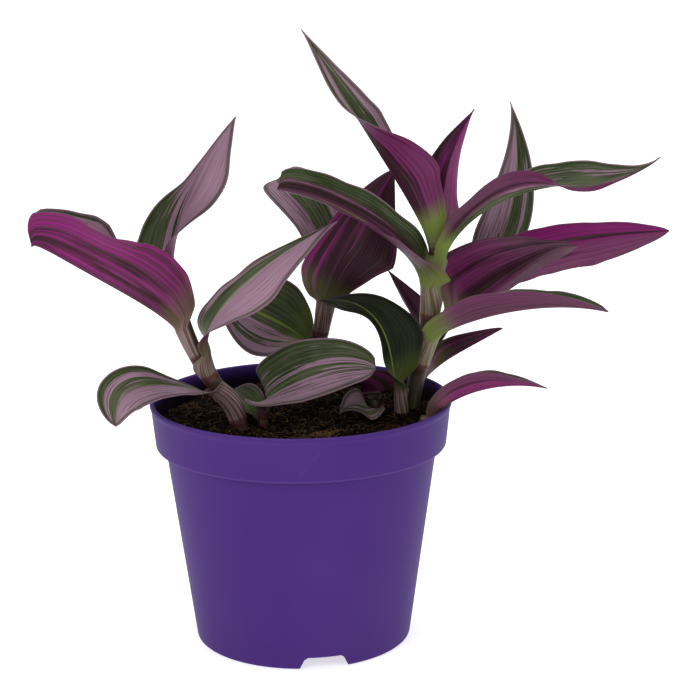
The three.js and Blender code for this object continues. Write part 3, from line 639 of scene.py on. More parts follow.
def note(mesh, name, values):
    """Stores a number or a vector for each point."""
    values = np.asarray(values, float)
    kind, key = ("FLOAT", "value") if values.ndim == 1 else ("FLOAT_VECTOR", "vector")
    mesh.attributes.new(name, kind, "POINT").data.foreach_set(key, values.ravel())


def keep(piece, slot, *nodes):
    """Ties a finished piece to the frame."""
    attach(piece, "root")
    if nodes:
        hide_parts(*nodes)
    return piece


def unit(vectors):
    size = np.linalg.norm(vectors, axis=-1, keepdims=True)
    return vectors / np.maximum(size, 1e-9)


def smooth(x):
    c = np.clip(x, 0, 1)
    return c * c * (3 - 2 * c)


def circle(radius, sides, centre=(0, 0)):
    """Points evenly round a circle."""
    turns = np.linspace(0, math.tau, sides, endpoint=False)
    return [(centre[0] + radius * math.cos(a), centre[1] + radius * math.sin(a)) for a in turns]


def along(values, t):
    """A smooth curve through equally spaced values, at each t from 0 to 1."""
    v = np.asarray(values, float)
    v = v[:, None] if v.ndim == 1 else v
    t = np.clip(np.atleast_1d(t), 0, 1)
    n = len(v) - 1
    i = np.minimum((t * n).astype(int), n - 1)
    f = (t * n - i)[:, None]
    w = np.vstack([2 * v[0] - v[1], v, 2 * v[-1] - v[-2]])
    p0, p1, p2, p3 = w[i], w[i + 1], w[i + 2], w[i + 3]
    return 0.5 * (2 * p1 + (p2 - p0) * f + (2 * p0 - 5 * p1 + 4 * p2 - p3) * f**2
                  + (3 * p1 - p0 - 3 * p2 + p3) * f**3)


def bezier(points, t):
    layers = [np.repeat(np.asarray(p, float)[None], len(t), 0) for p in points]
    while len(layers) > 1:
        layers = [a * (1 - t[:, None]) + b * t[:, None] for a, b in zip(layers, layers[1:])]
    return layers[0]


def run_of(points):
    """Distance along a line of points, from its start."""
    return np.concatenate([[0], np.cumsum(np.linalg.norm(np.diff(points, axis=0), axis=1))])


class StemCourse:
    """A stem measured along its length."""

    def __init__(self, stem):
        self.path = stem["path"]
        self.radii = stem["radii"]
        self.t = np.linspace(0, 1, 801)
        self.run = run_of(along(self.path, self.t))
        self.total = self.run[-1]

    def at(self, distance):
        """Place, direction and radius at distances from the root end."""
        t = np.interp(distance, self.run, self.t)
        ahead = along(self.path, t + 0.002) - along(self.path, t - 0.002)
        return along(self.path, t), unit(ahead), along(self.radii, t)[:, 0]


def leaf_paint(look):
    """Striped leaf: green and pale pink above, magenta and plum beneath, with a pale sheath."""
    p = Paint("striped_leaf")
    length, across, margin = p.parts(p.attribute("leaf_place"))
    pink, glow, seed = p.parts(p.attribute("leaf_tint"))
    dark, lined, flush = p.parts(p.attribute("leaf_tone"))
    lime, foot, upper = p.parts(p.attribute("leaf_base"))
    shade = p.attribute("leaf_shade", "Fac")
    bands, lines, dashes, fine, cloud, stripe, ridges = (
        p.noise(p.vector(across * sideways, length * lengthways, seed * 9.7 + shift), detail=detail)
        for sideways, lengthways, shift, detail in LEAF_NOISE.values()
    )
    level = bands * 0.62 + lines * 0.26 + dashes * 0.12
    rib = across.math("ABSOLUTE").rise(0.05, 0.012)
    wave = ((across * 8.5 + lines * 1.2) * 6.283).math("SINE")
    vein = (wave + lined * 0.7).rise(0.75, 1.25)

    need = 0.5 + (0.5 - pink) * 0.36
    top = p.mix(
        level.rise(need - 0.012, need + 0.012),
        p.mix((fine * 0.4 + cloud * 0.8).rise(0.40, 0.76), look.green, look.olive),
        p.mix(fine.rise(0.3, 0.7), look.pale, look.blush),
    )
    top = p.over(
        top, (vein * dashes.rise(0.40, 0.56) * lined * 0.9, look.green),
        (wave.rise(-0.7, -1) * 0.22, look.pale), (margin.rise(2.3, 1.2) * 0.7, look.green),
        (margin.rise(0.75, 0.4) * 0.8, look.pale), (rib * 0.35, look.olive),
    )

    need = 0.5 + (dark - 0.5) * 0.36
    # Underside: the glow share is partly the leaf's own magenta and partly painted glow of light shining
    # through it.
    below = p.mix(
        (level + (fine - 0.5) * 0.16).rise(need - 0.05, need + 0.04),
        p.mix(lines.rise(0.5, 0.62) * 0.6, look.plum, look.moss),
        p.mix(glow, look.mauve, look.magenta),
    )
    below = p.over(
        below, (vein * lined * 0.6, look.moss), (fine.rise(0.45, 0.7) * (dark * 0.6 + 0.15), look.plum),
        (wave.rise(-0.75, -1) * 0.1, look.pale), (margin.rise(0.7, 0.3) * 0.6, look.mauve),
        (rib * 0.3, look.mauve),
    )

    # The shade darkens the whole leaf towards black: partly its own darker colour, partly painted shade under
    # other leaves.
    blade = p.over(
        p.mix(upper - flush, below, top), (1 - shade, (0, 0, 0, 1)),
        (rib * lime * 2 * upper * length.rise(75, 20), look.lime),
        ((length + fine * 9).rise(21, 7) * lime, look.lime),
    )
    cover = p.over(
        p.mix(stripe.rise(0.40, 0.58), look.brown, look.sheath), (stripe.rise(0.5, 0.3) * 0.3, look.moss),
        (lime * 0.32, look.lime), (foot.rise(2.0, 0.8) * 0.8, look.ring),
    )
    return p.finish(Base_Color=p.mix(length.rise(4, -2), blade, cover), Roughness=0.36 + fine * 0.14,
                    Normal=p.bump(ridges * 0.7 + fine * 0.3, 0.45, 0.35), Specular_IOR_Level=0.1)


def leaf_sheet(key, leaf, look):
    """Middle surface of a leaf in rows from the sheath's foot to the tip, and where its points are on it."""
    course = StemCourse(STEMS[key[0]])
    ns = max(8, round(leaf["sheath"]))
    nu = look.rows
    end = min(leaf["at"] + leaf["sheath"], course.total - 0.2)
    place, tangent, radius = course.at(np.linspace(leaf["at"], end, ns + 1))
    towards = np.array(leaf["spine"][0]) - place[-1]
    away = unit(towards - tangent[-1] * (towards @ tangent[-1]))
    out = unit(away - tangent * (tangent @ away)[:, None])
    step = np.linspace(0, 1, ns + 1)
    flare = leaf.get("gap", SHEATH_GAP) + SHEATH_FLARE - SHEATH_FOOT_GAP
    tube = radius + (SHEATH_FOOT_GAP + flare * step**1.4)
    centre = place + out * tube[:, None]
    reach = leaf["reach"]
    first = centre[-1] + tangent[-1] * reach + away * reach * leaf.get("lean", 0.5)
    control = [centre[-1], first, *leaf["spine"]]
    u = np.linspace(0, 1, nu + 1)[1:]
    size = run_of(bezier(control, np.linspace(0, 1, 61)))[-1]
    centre = np.vstack([centre, bezier(control, u)])
    faces = [-out[-1], *unit(np.array(leaf["face"], float))]
    normal = np.vstack([-out, along(faces, u)])
    tube = np.concatenate([tube, np.full(nu, tube[-1])])
    run = run_of(centre)
    run = run - run[ns]

    ahead, behind = (
        np.stack([np.interp(run + shift, run, centre[:, k]) for k in range(3)], 1)
        for shift in (DIRECTION_OVER, -DIRECTION_OVER)
    )
    direction = unit(ahead - behind)
    face = unit(normal - direction * (normal * direction).sum(1)[:, None])
    side = np.cross(direction, face)
    u = np.concatenate([np.zeros(ns + 1), u])
    m = smooth(u * size / leaf.get("open", 6))
    foot = leaf.get("closed", SHEATH_CLOSED)
    mouth = min(SHEATH_MOUTH, foot)
    closed = np.radians(foot + (mouth - foot) * np.concatenate([step, np.ones(nu)]))

    rng = np.random.default_rng(SEED + list(LEAVES).index(key))
    s = np.linspace(0, 1, look.columns + 1)[1:]
    halves = []
    reached = []
    for name, sign in (("left", -1), ("right", 1)):
        wide = np.maximum(blade_width(u, leaf, sign > 0), LEAST_WIDTH)
        w = (1 - m) * SHEATH_FULLNESS * closed * tube + m * wide
        reached.append(w[:, None] * (1 - s))
        fold, curl = (along(angles, u)[:, 0] for angles in leaf[name])
        fold = np.radians(m * fold)[:, None]
        curl = (1 - m) * closed + m * np.radians(curl)
        curl = np.where(np.abs(curl) < 1e-3, 1e-3, curl)[:, None]
        y = w[:, None] * (np.sin(fold + curl * s) - np.sin(fold)) / curl
        z = w[:, None] * (np.cos(fold) - np.cos(fold + curl * s)) / curl
        phase = rng.uniform(0, 6.28, 3)
        pace = rng.uniform(0.7, 1.3, 3) * np.array([0.16, 0.34, 0.55])
        ripple = sum(a * np.sin(run * k + f) for a, k, f in zip((0.6, 0.35, 0.15), pace, phase))
        free = m * smooth((1 - u) * 6)
        z = z + (look.wave / MM) * (ripple * free * np.minimum(wide / 10, 1.3))[:, None] * s**2
        z = z + (look.pleat / MM) * m[:, None] * np.cos(s * math.pi * 7) * np.minimum(wide / 8, 1)[:, None]
        halves.append(centre[:, None] + side[:, None] * (sign * y)[..., None] + face[:, None] * z[..., None])
    grid = np.concatenate([halves[0][:, ::-1], centre[:, None], halves[1]], 1)
    across = np.concatenate([-s[::-1], [0], s])
    margin = np.concatenate([reached[0][:, ::-1], w[:, None], reached[1]], 1)
    return grid, run, across, margin


def blade_width(u, leaf, right):
    """Width of half a blade from its neck to its tip."""
    def pick(name, usual):
        value = leaf.get(name, usual)
        return value[int(right)] if isinstance(value, list) else value

    wide = pick("wide_at", 0.42)
    neck = pick("neck", 0.45)
    x = np.clip(u / wide, 0, 1)
    curve = np.sin(math.pi / 2 * x) ** 1.3
    rising = neck + (1 - neck) * (curve + pick("corner", 0) * (x - curve))
    x = np.clip((u - wide) / (1 - wide), 0, 1)
    falling = np.maximum(np.cos(math.pi / 2 * x), 0) ** pick("tip", 1.15)
    return pick("width", 10) * np.where(u < wide, rising, falling)


def spread_over(across, values):
    """Values from the left margin to the right one, with a step at the midrib."""
    values = np.atleast_1d(values)
    return np.interp(across, (-1, -0.05, 0.05, 1), np.repeat(values, 4 // len(values)))


def leaf_mesh(key, leaf, look):
    """A closed sheet, thick at the midrib and thin at the margins."""
    grid, run, across, margin = leaf_sheet(key, leaf, look)
    rows, cols = grid.shape[:2]
    normal = unit(np.cross(np.gradient(grid, axis=1), np.gradient(grid, axis=0)))
    half = look.edge + (look.middle - look.edge) * (1 - np.abs(across)) ** 1.5
    lift = normal * (half / 2 / MM)[None, :, None]
    points = np.concatenate([(grid + lift).reshape(-1, 3), (grid - lift).reshape(-1, 3)])
    index = np.arange(rows * cols).reshape(rows, cols)
    a, b, c, d = index[:-1, :-1], index[:-1, 1:], index[1:, 1:], index[1:, :-1]
    top = np.stack([a, b, c, d], -1).reshape(-1, 4)
    shift = rows * cols
    rim = np.concatenate([
        np.stack([index[0, 1:], index[0, :-1]], 1), np.stack([index[-1, :-1], index[-1, 1:]], 1),
        np.stack([index[:-1, 0], index[1:, 0]], 1), np.stack([index[1:, -1], index[:-1, -1]], 1),
    ])
    edge = np.stack([rim[:, 0], rim[:, 1], rim[:, 1] + shift, rim[:, 0] + shift], 1)
    mesh = mesh_of(key, points, np.concatenate([top, top[:, ::-1] + shift, edge]).tolist())

    tint = TINTS[key]
    pink, glow, dark, flush = (
        spread_over(across, tint.get(name, 0))[None] for name in ("pink", "glow", "dark", "flush")
    )
    length = run[:, None]
    # The glow, partly own magenta and partly painted glow, rises towards the tip by late.
    glow = np.clip(glow + tint.get("late", 0) * smooth(length / run[-1] * 1.6 - 0.4), 0, 1)
    notes = {
        "leaf_place": (length, across[None], margin),
        "leaf_tint": (pink, glow, list(LEAVES).index(key)),
        "leaf_tone": (dark, tint["lined"], flush),
        "leaf_base": (tint["lime"], length - run[0], 1),
    }
    for name, values in notes.items():
        above = np.stack([np.broadcast_to(value, (rows, cols)) for value in values], -1).reshape(-1, 3)
        below = above * (1, 1, 0) if name == "leaf_base" else above
        note(mesh, name, np.concatenate([above, below]))
    # Darkening of each leaf, partly its own colour and partly painted shade.
    note(mesh, "leaf_shade", np.full(len(points), tint.get("shade", 1)))
    mesh.shade_smooth()
    mesh.set_sharp_from_angle(angle=math.radians(70))
    return mesh


class PLANT_OT_make_leaves(bpy.types.Operator):
    """Make the striped leaves with their sheaths"""
    bl_idname = "plant.make_leaves"
    bl_label = "Make leaves"

    def execute(self, context):
        look = context.scene.plant.leaf
        paint = leaf_paint(look)
        for key, leaf in LEAVES.items():
            node = f"{SHOOT_NAMES[key[0]]}_leaf_{key[1:]}"
            mesh = leaf_mesh(key, leaf, look)
            mesh.materials.append(paint)
            keep(new_object(node.replace("_leaf_", "_blade_"), mesh), "leaf_tissue", node)
        return {"FINISHED"}


def stem_paint(look):
    """Stem: brown-green with fine streaks, lime where it is young, with a dark red ring at each node."""
    p = Paint("jointed_stem")
    x, y, _ = p.parts(p.attribute("stem_around"))
    length, ring, young = p.parts(p.attribute("stem_place"))
    streaks = p.noise(p.vector(x * 3, y * 3, length * 0.05), detail=3)
    spots = p.noise(p.vector(x * 5, y * 5, length * 0.9), detail=2)
    colour = p.over(
        p.mix(streaks.rise(0.38, 0.62), look.brown, look.green), (young, look.young),
        (streaks.rise(0.55, 0.7) * 0.3, look.young), (spots.rise(0.66, 0.72) * 0.5, look.ring),
        (ring.rise(1.5, 0.7), look.ring),
    )
    return p.finish(Base_Color=colour, Roughness=0.4 + streaks * 0.15,
                    Normal=p.bump(streaks * 0.8 + spots * 0.2, 0.4, 0.4))


def stem_growth(sides):
    """A tube along a line of points."""
    g = Growth("stem_tube", Sides=sides)
    line = g.add("GeometryNodeMeshToCurve", {"Mesh": g.start})
    spot = g.add("GeometryNodeInputPosition")
    ring = g.store(g.ring(g.size("Sides"), 1.0), "stem_around", spot, "FLOAT_VECTOR", "POINT")
    radius = g.add("GeometryNodeInputNamedAttribute", {"Name": "stem_radius"}, "Attribute", data_type="FLOAT")
    return g.end(g.tube(line, ring, Scale=radius))


class PLANT_OT_make_stems(bpy.types.Operator):
    """Make the jointed stems"""
    bl_idname = "plant.make_stems"
    bl_label = "Make stems"

    def execute(self, context):
        look = context.scene.plant.stem
        paint = stem_paint(look)
        growth = stem_growth(look.sides)
        dome = np.array([0.25, 0.5, 0.72, 0.88, 0.97, 1.0])
        for key, stem in STEMS.items():
            course = StemCourse(stem)
            joints = [leaf["at"] for name, leaf in LEAVES.items() if name[0] == key]
            distance = np.arange(0, course.total, STEM_STEP)
            place, tangent, radius = course.at(distance)
            near = np.min([np.abs(distance - j + 0.6) for j in joints], 0)
            radius = radius + look.swell / MM * smooth(1 - near / NODE_REACH)
            last, forward, thick = place[-1], tangent[-1], radius[-1]
            place = np.vstack([place, last + forward * (dome * thick * 0.6)[:, None]])
            radius = np.concatenate([radius, thick * np.sqrt(1 - dome**2 * 0.995)])
            distance = np.concatenate([distance, distance[-1] + dome * thick])
            near = np.concatenate([near, np.full(len(dome), 9)])
            young = smooth((place[:, 2] - YOUNG_FROM) / YOUNG_OVER)
            mesh = chain(key, place)
            note(mesh, "stem_radius", radius * MM)
            note(mesh, "stem_place", np.stack([distance, near, young], 1))
            node = f"{SHOOT_NAMES[key]}_stem"
            keep(growth.run(node + "_tube", mesh, paint), "stem_tissue", node)
        return {"FINISHED"}


def body_radius(z):
    """The outside of the pot's body at a height."""
    return FOOT_RADIUS + (BODY_TOP_RADIUS - FOOT_RADIUS) / BAND_BOTTOM * z


def pot_outline():
    """Half section of the pot from the middle of its base to the middle of its floor, as [radius, height]."""
    body = [[body_radius(z), z] for z in (1.6, 3, 8, 20, 35, 50, 65, 76, 79)]
    inside = [[body_radius(z) - WALL, z] for z in (79, 65, 50, 35, 20, 8, 2.8)]
    return [
        [0, 0.5], [24, 0.5], [26, 0.3], [38, 0.3], [39, 0], [FOOT_RADIUS - 1.1, 0],
        [FOOT_RADIUS - 0.45, 0.14], [FOOT_RADIUS - 0.05, 0.5], [FOOT_RADIUS + 0.1, 0.9], *body,
        [body_radius(80) + 0.1, 79.55], [body_radius(80) + 0.5, 79.85], [BAND_RADIUS - 0.6, 80],
        [BAND_RADIUS - 0.22, 80.12], [BAND_RADIUS - 0.02, 80.4], [BAND_RADIUS + 0.06, 81], [58.6, 87],
        [59.4, 94.8], [59.55, 95.6], [59.85, 96.1], [60, 96.5], [60, 97.3], [59.86, 97.7], [59.5, 97.96],
        [59.1, 98], [58.75, 97.9], [58.45, 97.6], [58.2, 97], [57.4, 90], [56.5, 82], [56, 80.6],
        [54.4, 79.6], *inside, [body_radius(1.6) - WALL - 0.3, 1.8],
        [body_radius(1.4) - WALL - 1.1, FLOOR_TOP], [20, FLOOR_TOP], [0, FLOOR_TOP],
    ]


def turning(steps):
    """Turns a half section round the vertical axis into a closed shell."""
    g = Growth("turned_shell", Steps=steps)
    rows = g.add("GeometryNodeAttributeDomainSize", {"Geometry": g.start}, "Point Count", component="MESH")
    grid = g.add("GeometryNodeMeshGrid", {
        "Size X": 1.0, "Size Y": 1.0, "Vertices X": g.size("Steps") + 1, "Vertices Y": rows,
    }, "Mesh")
    spot = g.add("GeometryNodeInputPosition")
    x, y, _ = g.parts(spot)
    turn = (x + 0.5) * math.tau
    number = ((y + 0.5) * (rows - 1)).math("ROUND")
    section = g.add("GeometryNodeSampleIndex", {"Geometry": g.start, "Value": spot, "Index": number},
                    data_type="FLOAT_VECTOR", domain="POINT")
    radius, _, height = g.parts(section)
    place = g.vector(radius * turn.math("COSINE"), radius * turn.math("SINE"), height)
    turned = g.add("GeometryNodeSetPosition", {"Geometry": grid, "Position": place})
    return g.end(g.add("GeometryNodeMergeByDistance", {"Geometry": turned, "Distance": 0.00001}))


def section_mesh(name, outline):
    return chain(name, [(r, 0, z) for r, z in outline])


def prism(name, outline, near, far, turns):
    """A bar of the given end outline [x, z], from radius near to radius far, once for each turn."""
    points = []
    faces = []
    n = len(outline)
    for turn in turns:
        spin = Matrix.Rotation(math.radians(turn), 3, "Z")
        first = len(points)
        for y in (near, far):
            points += [spin @ Vector((x * MM, y * MM, z * MM)) for x, z in outline]
        faces.append([first + i for i in range(n)])
        faces.append([first + n + i for i in reversed(range(n))])
        for i in range(n):
            k = (i + 1) % n
            faces.append([first + i, first + n + i, first + n + k, first + k])
    return new_object(name, mesh_of(name, points, faces, scale=1))


def drain(turn):
    """A round bar where the drain hole of a pocket goes."""
    angle = math.radians(turn + 90)
    centre = (DRAIN_CIRCLE * math.cos(angle), DRAIN_CIRCLE * math.sin(angle))
    n = DRAIN_SIDES
    heights = (NOTCH_HEIGHT - 2, NOTCH_HEIGHT + 4)
    points = [(x, y, z) for z in heights for x, y in circle(DRAIN_RADIUS, n, centre)]
    faces = [list(reversed(range(n))), list(range(n, 2 * n))]
    faces += [[i, (i + 1) % n, (i + 1) % n + n, i + n] for i in range(n)]
    return new_object("drain", mesh_of("drain", points, faces))


def pocket_outline(grow):
    """End outline of a notch and its pocket, made wider and higher all round."""
    half = NOTCH_WIDTH / 2
    top = NOTCH_HEIGHT + grow
    return [
        [-half - 1.2 - grow, -1], [half + 1.2 + grow, -1], [half - 1 + grow, NOTCH_HEIGHT - 1],
        [half - 2.4 + grow * 0.6, top], [-half + 2.4 - grow * 0.6, top], [-half + 1 - grow, NOTCH_HEIGHT - 1],
    ]


def cut(piece, way, tool):
    """Joins, cuts or keeps what is common with another closed solid."""
    modifier = piece.modifiers.new(way.lower(), "BOOLEAN")
    modifier.operation = way
    modifier.solver = "EXACT"
    modifier.object = tool
    settle(piece)
    bpy.data.objects.remove(tool)


def pot_paint(look):
    """Satin plastic with a fine grain, faint clouds and one shallow scratch on the band, with painted shade
    inside and under the band and painted highlights along the band's lower edge and the rim top.
    """
    p = Paint("pot_plastic_satin")
    spot = p.place()
    cloud = p.noise(spot, 18, 2, 0.5)
    grain = p.noise(spot, 2600, 2, 0.6)
    rub = p.noise(spot, 160, 4, 0.65)
    x, y, z = (part * (1 / MM) for part in p.parts(spot))
    (x0, z0), (x1, z1) = SCRATCH
    size = math.hypot(x1 - x0, z1 - z0)
    dx, dz = (x1 - x0) / size, (z1 - z0) / size
    off = ((x - x0) * dz - (z - z0) * dx).math("ABSOLUTE")
    on = (x - x0) * dx + (z - z0) * dz
    scratch = off.rise(0.32, 0.08) * on.rise(0, 1.5) * on.rise(size, size - 2) * y.rise(-50, -55)
    scratch = scratch * rub.rise(0.40, 0.55)
    scuff = rub.rise(0.66, 0.74) * cloud.rise(0.5, 0.62)
    wall = (x * x + y * y).math("SQRT") - z * 0.107
    # inner: the inner wall above the soil, darkened there with the shade colour as painted shade; the
    # clinging peat is laid over it.
    inner = wall.rise(49.0, 48.2) * z.rise(84, 86) * z.rise(97, 94.5)
    clinging = inner * (z + rub * 5).rise(97.5, 94.5)
    # Painted shade: a dark line in the crease under the band, in the shade colour.
    painted_crease_shade = z.rise(77.8, 79.5) * z.rise(80.05, 79.9)
    # Painted highlight: a pale line along the band's lower edge and round the rim top; the same colour also
    # marks the real scratch, scuffs and clouds.
    edge = z.rise(79.95, 80.15) * z.rise(81.1, 80.5) + z.rise(97.2, 97.6)
    colour = p.over(
        look.colour, (cloud.rise(0.3, 0.7) * 0.16, look.wear_and_highlight), (scratch * 0.35 + scuff * 0.10, look.wear_and_highlight),
        (inner * (0.75 + rub * 0.3), look.inside), (clinging * 0.9, look.peat), (painted_crease_shade * 0.5, look.inside),
        (edge * (0.25 + rub * 0.3), look.wear_and_highlight),
    )
    height = grain * 0.3 + rub * 0.2 - scratch * 1.5
    return p.finish(Base_Color=colour, Roughness=look.roughness + cloud * 0.08 + scuff * 0.12,
                    Normal=p.bump(height, 0.18, 0.12), Specular_IOR_Level=0.1)


class PLANT_OT_make_pot(bpy.types.Operator):
    """Make the nursery pot"""
    bl_idname = "plant.make_pot"
    bl_label = "Make pot"

    def execute(self, context):
        look = context.scene.plant.pot
        paint = pot_paint(look)
        lathe = turning(look.steps)
        pot = lathe.run("nursery_pot", section_mesh("pot_section", pot_outline()), paint)
        turns = [NOTCH_AZIMUTH - 90 + 360 / NOTCH_COUNT * i for i in range(NOTCH_COUNT)]
        cone = [[0, 0.6], [FOOT_RADIUS - 0.5, 0.6], [body_radius(20) - 0.5, 20], [0, 20]]
        limit = lathe.run("limit", section_mesh("limit_section", cone), paint)
        shells = prism("pocket_shells", pocket_outline(WALL), POCKET_INNER - WALL, POCKET_OUTER, turns)
        shells.data.materials.append(paint)
        cut(shells, "INTERSECT", limit)
        cut(pot, "UNION", shells)
        cut(pot, "DIFFERENCE", prism("pockets", pocket_outline(0), POCKET_INNER, POCKET_OUTER, turns))
        for turn in turns:
            cut(pot, "DIFFERENCE", drain(turn))
        pot.data.materials.clear()
        pot.data.materials.append(paint)
        pot.data.shade_smooth()
        pot.data.set_sharp_from_angle(angle=math.radians(35))
        keep(pot, "pot_plastic", "pot")
        return {"FINISHED"}


def soil_height(x, y):
    """Rise and fall of the soil at a place, from -1 to 1."""
    rng = np.random.default_rng(SEED)
    total = 0
    for size, waves in ((0.5, 5), (0.3, 9), (0.2, 16)):
        for _ in range(waves):
            kx, ky, phase = rng.normal(0, 1, 3)
            pace = 0.045 / size**1.6
            total = total + size / waves**0.5 * np.sin(pace * (kx * x + ky * y) + phase * 6)
    return total


def soil_level(xy, look):
    """Height of the uneven soil at places."""
    heave = look.heave / MM * soil_height(xy[:, 0], xy[:, 1])
    sink = WALL_SINK * smooth((np.linalg.norm(xy, axis=1) - WALL_SINK_START) / WALL_SINK_WIDTH)
    return SOIL_TOP - SOIL_SETTLED + heave - sink


def soil_paint(look):
    """Damp peat, darker in the hollows, with dry specks."""
    p = Paint("potting_soil")
    clods = p.noise(p.place(), 260, 4, 0.62)
    dust = p.noise(p.place(), 1500, 3, 0.7)
    shade = p.attribute("soil_shade", "Fac")
    colour = p.over(
        look.dark, (clods.rise(0.38, 0.68) * 0.75, look.light), (shade * 0.7, look.light),
        (dust.rise(0.62, 0.70) * 0.55, look.straw),
    )
    return p.finish(Base_Color=colour, Roughness=0.82 + dust * 0.15,
                    Normal=p.bump(clods + dust * 0.5, 0.9, 0.8), Specular_IOR_Level=0.08)


def straw_paint(look):
    """Dry fibres and chips, some pale and some brown."""
    p = Paint("peat_fibre")
    shade = p.attribute("soil_shade", "Fac")
    mottle = p.noise(p.place(), 900, 3, 0.6)
    colour = p.over(look.light, (shade, look.straw), (mottle.rise(0.35, 0.6) * 0.5, look.dark))
    return p.finish(Base_Color=colour, Roughness=0.72 + mottle * 0.15, Normal=p.bump(mottle, 0.5, 0.2),
                    Specular_IOR_Level=0.1)


def soil_mesh(look):
    """A closed bed of soil with an uneven top."""
    flat = [(0.0, 0.0)]
    for i in range(1, SOIL_RINGS + 1):
        flat += circle(SOIL_RADIUS * i / SOIL_RINGS, SOIL_SECTORS)
    points = [(x, y, z) for (x, y), z in zip(flat, soil_level(np.array(flat), look))]
    walls = ((56.0, 82), (body_radius(78) - WALL - 0.4, 78), (body_radius(8) - WALL - 0.4, 8), (40, 7))
    for radius, z in walls:
        points += [(x, y, z) for x, y in circle(radius, SOIL_SECTORS)]
    after = [(k + 1) % SOIL_SECTORS for k in range(SOIL_SECTORS)]
    faces = [[0, 1 + k, 1 + n] for k, n in enumerate(after)]
    for a in range(1, len(points) - SOIL_SECTORS, SOIL_SECTORS):
        b = a + SOIL_SECTORS
        faces += [[a + k, b + k, b + n, a + n] for k, n in enumerate(after)]
    faces += [[len(points), b + n, b + k] for k, n in enumerate(after)]
    points.append((0, 0, 7))
    mesh = mesh_of("soil_bed", points, faces)
    note(mesh, "soil_shade", np.zeros(len(points)))
    mesh.shade_smooth()
    return mesh


def scattered(number, seed, radius=SOIL_RADIUS - 1.4):
    """Places spread evenly over the soil."""
    rng = np.random.default_rng(seed)
    turn = rng.uniform(0, math.tau, number)
    r = radius * np.sqrt(rng.uniform(0, 1, number))
    return np.stack([r * np.cos(turn), r * np.sin(turn)], 1)


def heaped(number, seed, centre, spread):
    """Places in a heap on the soil."""
    return np.random.default_rng(seed).normal(0, spread, (number, 2)) + np.array(centre)


def spots_mesh(name, xy, lift, look):
    """Points at places on the soil, as far above it as lift."""
    xy = xy[np.linalg.norm(xy, axis=1) < SOIL_RADIUS - 1.2]
    return mesh_of(name, np.column_stack([xy, soil_level(xy, look) + lift]))


def crumbling(name, radius, low, high, seed, palest=0.0):
    """A crumb on each point, turned, sized and shaded at random."""
    g = Growth(name, Radius=radius)
    ball = g.add("GeometryNodeMeshIcoSphere", {"Radius": g.size("Radius"), "Subdivisions": 1}, "Mesh")
    turn = g.chance((0.0, 0.0, 0.0), (6.28, 6.28, 6.28), seed)
    crumbs = g.scatter(ball, turn, g.chance(low, high, seed + 1))
    shade = g.chance(palest, 1.0, seed + 2)
    return g.end(g.store(crumbs, "soil_shade", shade * shade))


def fibres_growth(length, seed):
    """A bent hair-thin strand on each point."""
    g = Growth("peat_strands", Length=length, Thickness=FIBRE_RADIUS * MM)
    size = g.size("Length")
    strand = g.add("GeometryNodeCurveQuadraticBezier", {
        "Resolution": 5, "Start": g.vector(size * -0.5, 0.0, 0.0),
        "Middle": g.vector(0.0, size * 0.3, size * 0.22), "End": g.vector(size * 0.5, 0.0, size * 0.04),
    })
    turn = g.chance((-0.35, -0.35, 0.0), (0.35, 0.35, 6.28), seed)
    placed = g.scatter(strand, turn, g.chance((0.25, -1.2, 0.2), (1.0, 1.2, 1.0), seed + 1))
    marked = g.store(placed, "soil_shade", g.chance(0.0, 1.0, seed + 2))
    loose = g.add("GeometryNodeRealizeInstances", {"Geometry": marked})
    return g.end(g.tube(loose, g.ring(3, g.size("Thickness"))))


class PLANT_OT_make_soil(bpy.types.Operator):
    """Make the potting soil with its crumbs and fibres"""
    bl_idname = "plant.make_soil"
    bl_label = "Make soil"

    def execute(self, context):
        look = context.scene.plant.soil
        peat = soil_paint(look)
        straw = straw_paint(look)
        bed = soil_mesh(look)
        bed.materials.append(peat)
        keep(new_object("soil_bed", bed), "soil", "soil")
        crumbs = spots_mesh("crumb_spots", scattered(look.crumbs, SEED + 1), 0.2, look)
        grow = crumbling("soil_crumbling", look.crumb, (0.4, 0.4, 0.3), (1.9, 1.7, 1.3), SEED + 2)
        keep(grow.run("soil_crumbs", crumbs, peat), "soil")
        loose = [scattered(look.chips // 2, SEED + 5), heaped(look.chips // 2, SEED + 6, **HEAP)]
        chips = spots_mesh("chip_spots", np.vstack(loose), 0.8, look)
        grow = crumbling("chip_crumbling", look.crumb * 0.8, (0.5, 0.4, 0.3), (1.6, 1.3, 1.0), SEED + 7, 0.6)
        keep(grow.run("soil_chips", chips, straw), "soil")
        strands = spots_mesh("strand_spots", scattered(look.fibres, SEED + 9, SOIL_RADIUS - 4), 0.7, look)
        keep(fibres_growth(look.fibre, SEED + 10).run("soil_fibres", strands, straw), "soil")
        return {"FINISHED"}


def make_camera(scene, lens):
    """The camera at the photo's place, turned level but for a small roll."""
    place = Vector(CAMERA_PLACE) * MM
    ahead = (Vector(CAMERA_AIM) * MM - place).normalized()
    right = ahead.cross(Vector((0, 0, 1))).normalized()
    up = right.cross(ahead)
    roll = math.radians(CAMERA_ROLL)
    level = right * math.cos(roll) + up * math.sin(roll)
    upright = up * math.cos(roll) - right * math.sin(roll)
    data = bpy.data.cameras.new("camera")
    data.lens = lens
    data.sensor_width = 36
    camera = new_object("camera", data)
    camera.matrix_world = Matrix.Translation(place) @ Matrix((level, upright, -ahead)).transposed().to_4x4()
    scene.camera = camera


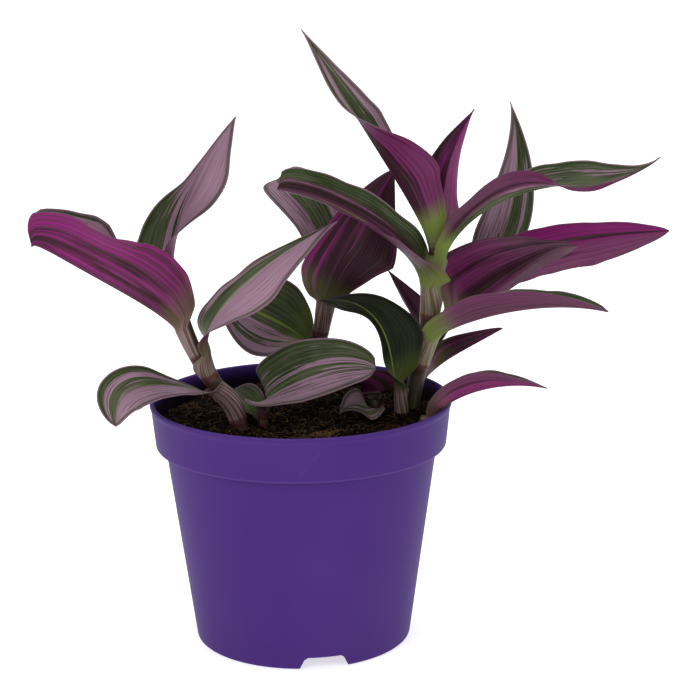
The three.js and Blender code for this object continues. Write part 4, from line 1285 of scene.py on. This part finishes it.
class PLANT_OT_make_stage(bpy.types.Operator):
    """Make the floor, the lights and the camera"""
    bl_idname = "plant.make_stage"
    bl_label = "Make stage"

    def execute(self, context):
        look = context.scene.plant.stage
        scene = context.scene
        scene.view_settings.view_transform = "Standard"
        rim = [(x, y, -0.2) for x, y in circle(7000, 64)]
        floor = new_object("floor", mesh_of("floor", rim, [list(range(64))]))
        paint = Paint("plain_floor").finish(
            Base_Color=look.floor, Roughness=0.9, Specular_IOR_Level=0.1, Emission_Color=(1, 1, 1, 1),
            Emission_Strength=look.glow)
        floor.data.materials.append(paint)
        world = bpy.data.worlds.new("white_surround")
        world.use_nodes = True
        ground = world.node_tree.nodes["Background"]
        ground.inputs["Color"].default_value = (1, 1, 1, 1)
        ground.inputs["Strength"].default_value = look.sky
        scene.world = world
        for name, (place, size, power) in LIGHTS.items():
            light = bpy.data.lights.new(name, "AREA")
            light.shape = "DISK"
            light.size = size
            light.energy = getattr(look, power)
            lamp = new_object(name, light)
            lamp.location = place
            lamp.rotation_euler = (Vector(LIGHT_AIM) - Vector(place)).to_track_quat("-Z", "Y").to_euler()
        make_camera(scene, look.lens)
        return {"FINISHED"}


class PLANT_PT_sidebar(bpy.types.Panel):
    """Lists the steps that make the potted plant"""
    bl_idname = "PLANT_PT_sidebar"
    bl_label = "Potted tradescantia"
    bl_space_type = "VIEW_3D"
    bl_region_type = "UI"
    bl_category = "Plant"

    def draw(self, context):
        steps = {"pot": "make_pot", "soil": "make_soil", "stem": "make_stems", "leaf": "make_leaves",
                 "stage": "make_stage"}
        for group, step in steps.items():
            box = self.layout.box()
            settings = getattr(context.scene.plant, group)
            for name in settings.__annotations__:
                box.prop(settings, name)
            box.operator("plant." + step)


CLASSES = (
    PotSettings, SoilSettings, StemSettings, LeafSettings, StageSettings, PlantSettings, PLANT_OT_make_pot,
    PLANT_OT_make_soil, PLANT_OT_make_stems, PLANT_OT_make_leaves, PLANT_OT_make_stage, PLANT_PT_sidebar,
)


def register():
    for kind in CLASSES:
        bpy.utils.register_class(kind)
    bpy.types.Scene.plant = PointerProperty(type=PlantSettings, name="Plant",
                                            description="Settings of the plant")


def unregister():
    del bpy.types.Scene.plant
    for kind in reversed(CLASSES):
        bpy.utils.unregister_class(kind)


def main():
    register()
    bpy.ops.plant.make_pot()
    bpy.ops.plant.make_soil()
    bpy.ops.plant.make_stems()
    bpy.ops.plant.make_leaves()
    bpy.ops.plant.make_stage()


if __name__ == "__main__":
    main()
